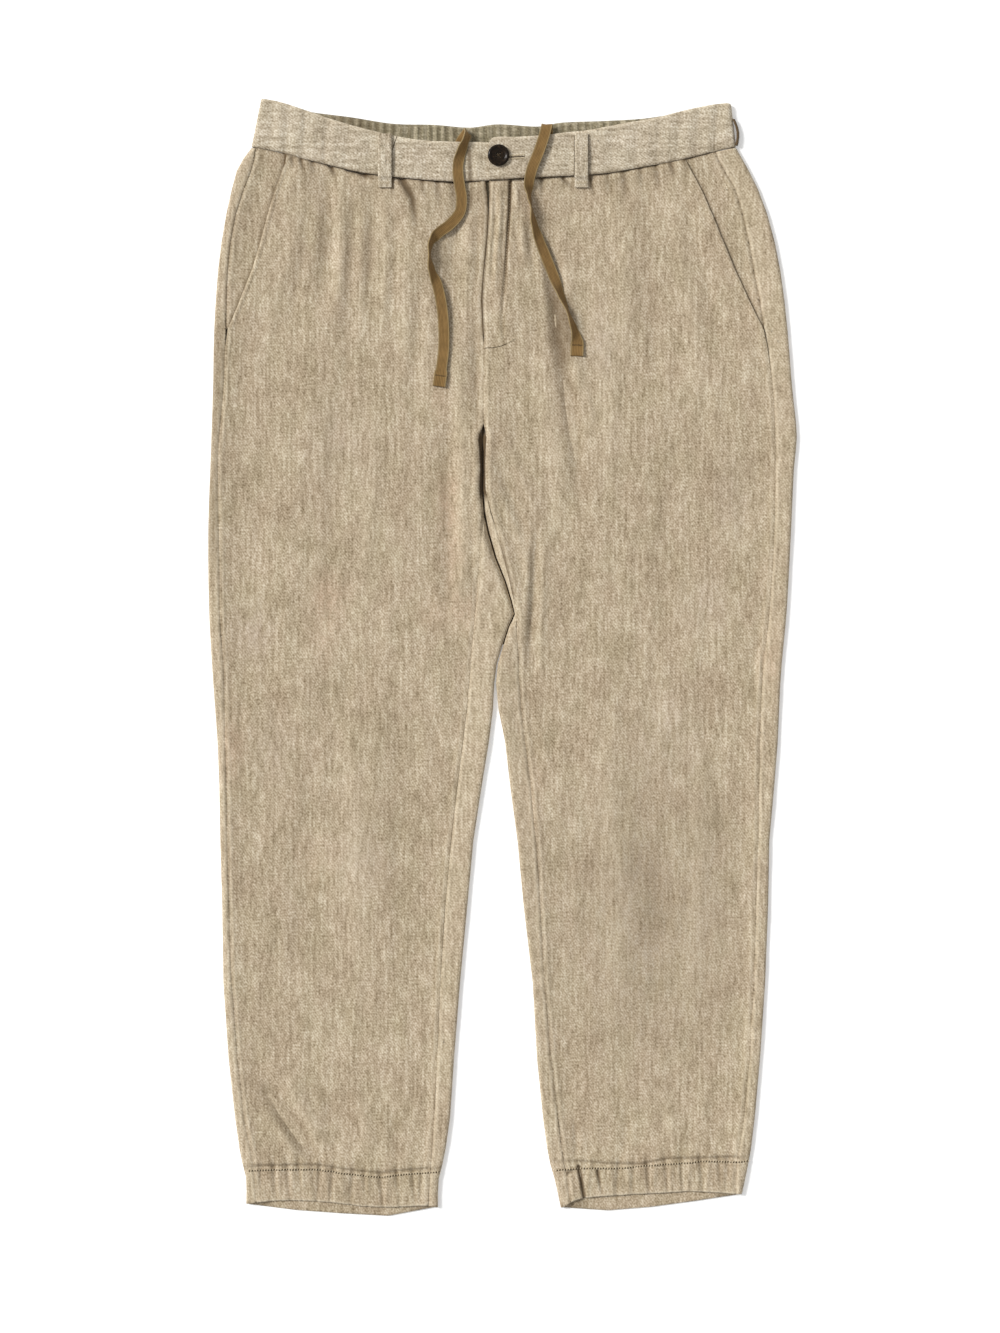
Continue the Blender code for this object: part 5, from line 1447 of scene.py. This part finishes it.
# %% Loop stitches
# The needle holes get painted shade, and dark rows paint the deep shade along the edges where a loop stands off the
# band.
LOOP_SIDE_IN = 2.3
LOOP_LEANS = {"left": (0.0, 0.2, 5.2), "right": (0.0, 0.2, 0.2)}
band_trees = surface_of(*bands.values())
pale, dark = bmesh.new(), bmesh.new()
for side, loop in loops.items():
    tree = surface_of(loop)
    low, high = (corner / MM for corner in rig.box("belt_loop_" + side))
    for x in (low.x + LOOP_SIDE_IN, high.x - LOOP_SIDE_IN):
        sew(pale, tree, ((x, high.y - 2.0), (x, low.y + 3.0)), 2.4, 1.7, 0.34, lift=0.03, seed=int(x))
        sew(dark, tree, ((x, high.y - 3.2), (x, low.y + 3.0)), 2.4, 0.6, 0.36, lift=-0.07, seed=int(x))
    heights = (low.y + 1.0, high.y - 15.0, high.y - 0.8)
    edge = [(high.x + lean, y) for lean, y in zip(LOOP_LEANS[side], heights)]
    sew(dark, band_trees, edge, 1.1, 1.6, 0.95, lift=-0.1, seed=21)
    if side == "right":
        edge = ((low.x - 0.3, low.y + 8.0), (low.x - 0.3, high.y - 1.0))
        sew(dark, band_trees, edge, 1.1, 1.6, 0.8, lift=-0.1, seed=22)
    for y in (low.y + 3.4, low.y + 4.3):
        sew(pale, tree, ((low.x + 1.2, y), (high.x - 1.2, y)), 0.9, 1.6, 0.36, lift=0.1, across=70.0,
            sway=0.2, seed=int(low.y))
stitch_piece("stitches_loops", pale, pale_thread)
stitch_piece("needle_holes_loops", dark, shade_and_thread_dark)

# %% Buttonhole and button thread
HOLE_LINE = ((5.6, 458.9), (12.5, 459.6), (20.2, 460.1))
THREAD_UP, THREAD_LENGTH, THREAD_APART = 2.15, 4.1, 0.22
band_tree = surface_of(bands["right"])
pale, dark = bmesh.new(), bmesh.new()
for beside in (-1.45, 1.45):
    line = [(x, y + beside) for x, y in HOLE_LINE]
    sew(pale, band_tree, line, 0.8, 2.0, 0.6, lift=0.12, across=90.0, sway=0.12, seed=11)
sew(pale, band_tree, ((20.0, 458.4), (20.4, 461.6)), 0.6, 1.5, 0.42, lift=0.14, seed=12)
# The buttonhole's slit is painted shade; the thread across the button's holes is real dark thread in the same colour.
sew(dark, band_tree, HOLE_LINE, 1.0, 1.6, 1.1, seed=13)
for k in range(4):
    (ax, ay), (bx, by) = HOLES[k], HOLES[(k + 2) % 4]
    turn = math.atan2(by - ay, bx - ax)
    for slip in (-THREAD_APART, THREAD_APART):
        x, y = button_middle.x / MM - math.sin(turn) * slip, button_middle.y / MM + math.cos(turn) * slip
        add_stitch(dark, x, y, button_low.z / MM + THREAD_UP + 0.16 * (k % 2), turn, THREAD_LENGTH, 0.5)
stitch_piece("stitches_button", pale, pale_thread)
stitch_piece("buttonhole_slit", dark, shade_and_thread_dark)

# %% Tape stitches
TIP_ROWS = (8.6, 9.3)
dark = bmesh.new()
for tape, (point, across, face, ahead) in tapes:
    tree = surface_of(tape)
    for back in TIP_ROWS:
        at = (point - ahead * back * MM) / MM
        ends = [(at.x + across.x * out, at.y + across.y * out) for out in (-TAPE_WIDTH / 2, TAPE_WIDTH / 2)]
        sew(dark, tree, ends, 1.1, 1.2, 0.45, lift=0.06, sway=0.15, seed=17)
stitch_piece("stitches_tape", dark, dark_thread, "tape")

# %% [markdown]
# ## What each cloth was cut to
# The four panels are laid flat, so each is declared with the size that it was cut to, seam allowances and
# hems included, and with what it rests on.

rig.sheet(fronts["left"], flat=(0.27, 1.02), held="laid", rests_on=["back_left", "pocket_facing_left"],
         area=0.215)
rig.sheet(fronts["right"], flat=(0.27, 1.02), held="laid",
         rests_on=["back_right", "pocket_facing_right", "fly_shield"], area=0.215)
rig.sheet(backs["left"], flat=(0.34, 1.03), held="laid", rests_on=["table"], area=0.262)
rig.sheet(backs["right"], flat=(0.34, 1.03), held="laid", rests_on=["table"], area=0.262)

# %% Sizes, and done
bpy.context.view_layer.update()
visual_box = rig.bounds()
with open("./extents.json", "w") as out:
    json.dump({"cad": [list(corner) for corner in cad_box],
               "visual": [list(corner) for corner in visual_box]}, out)
print("visual model:", [round(side / MM, 1) for side in visual_box[1] - visual_box[0]], "mm")
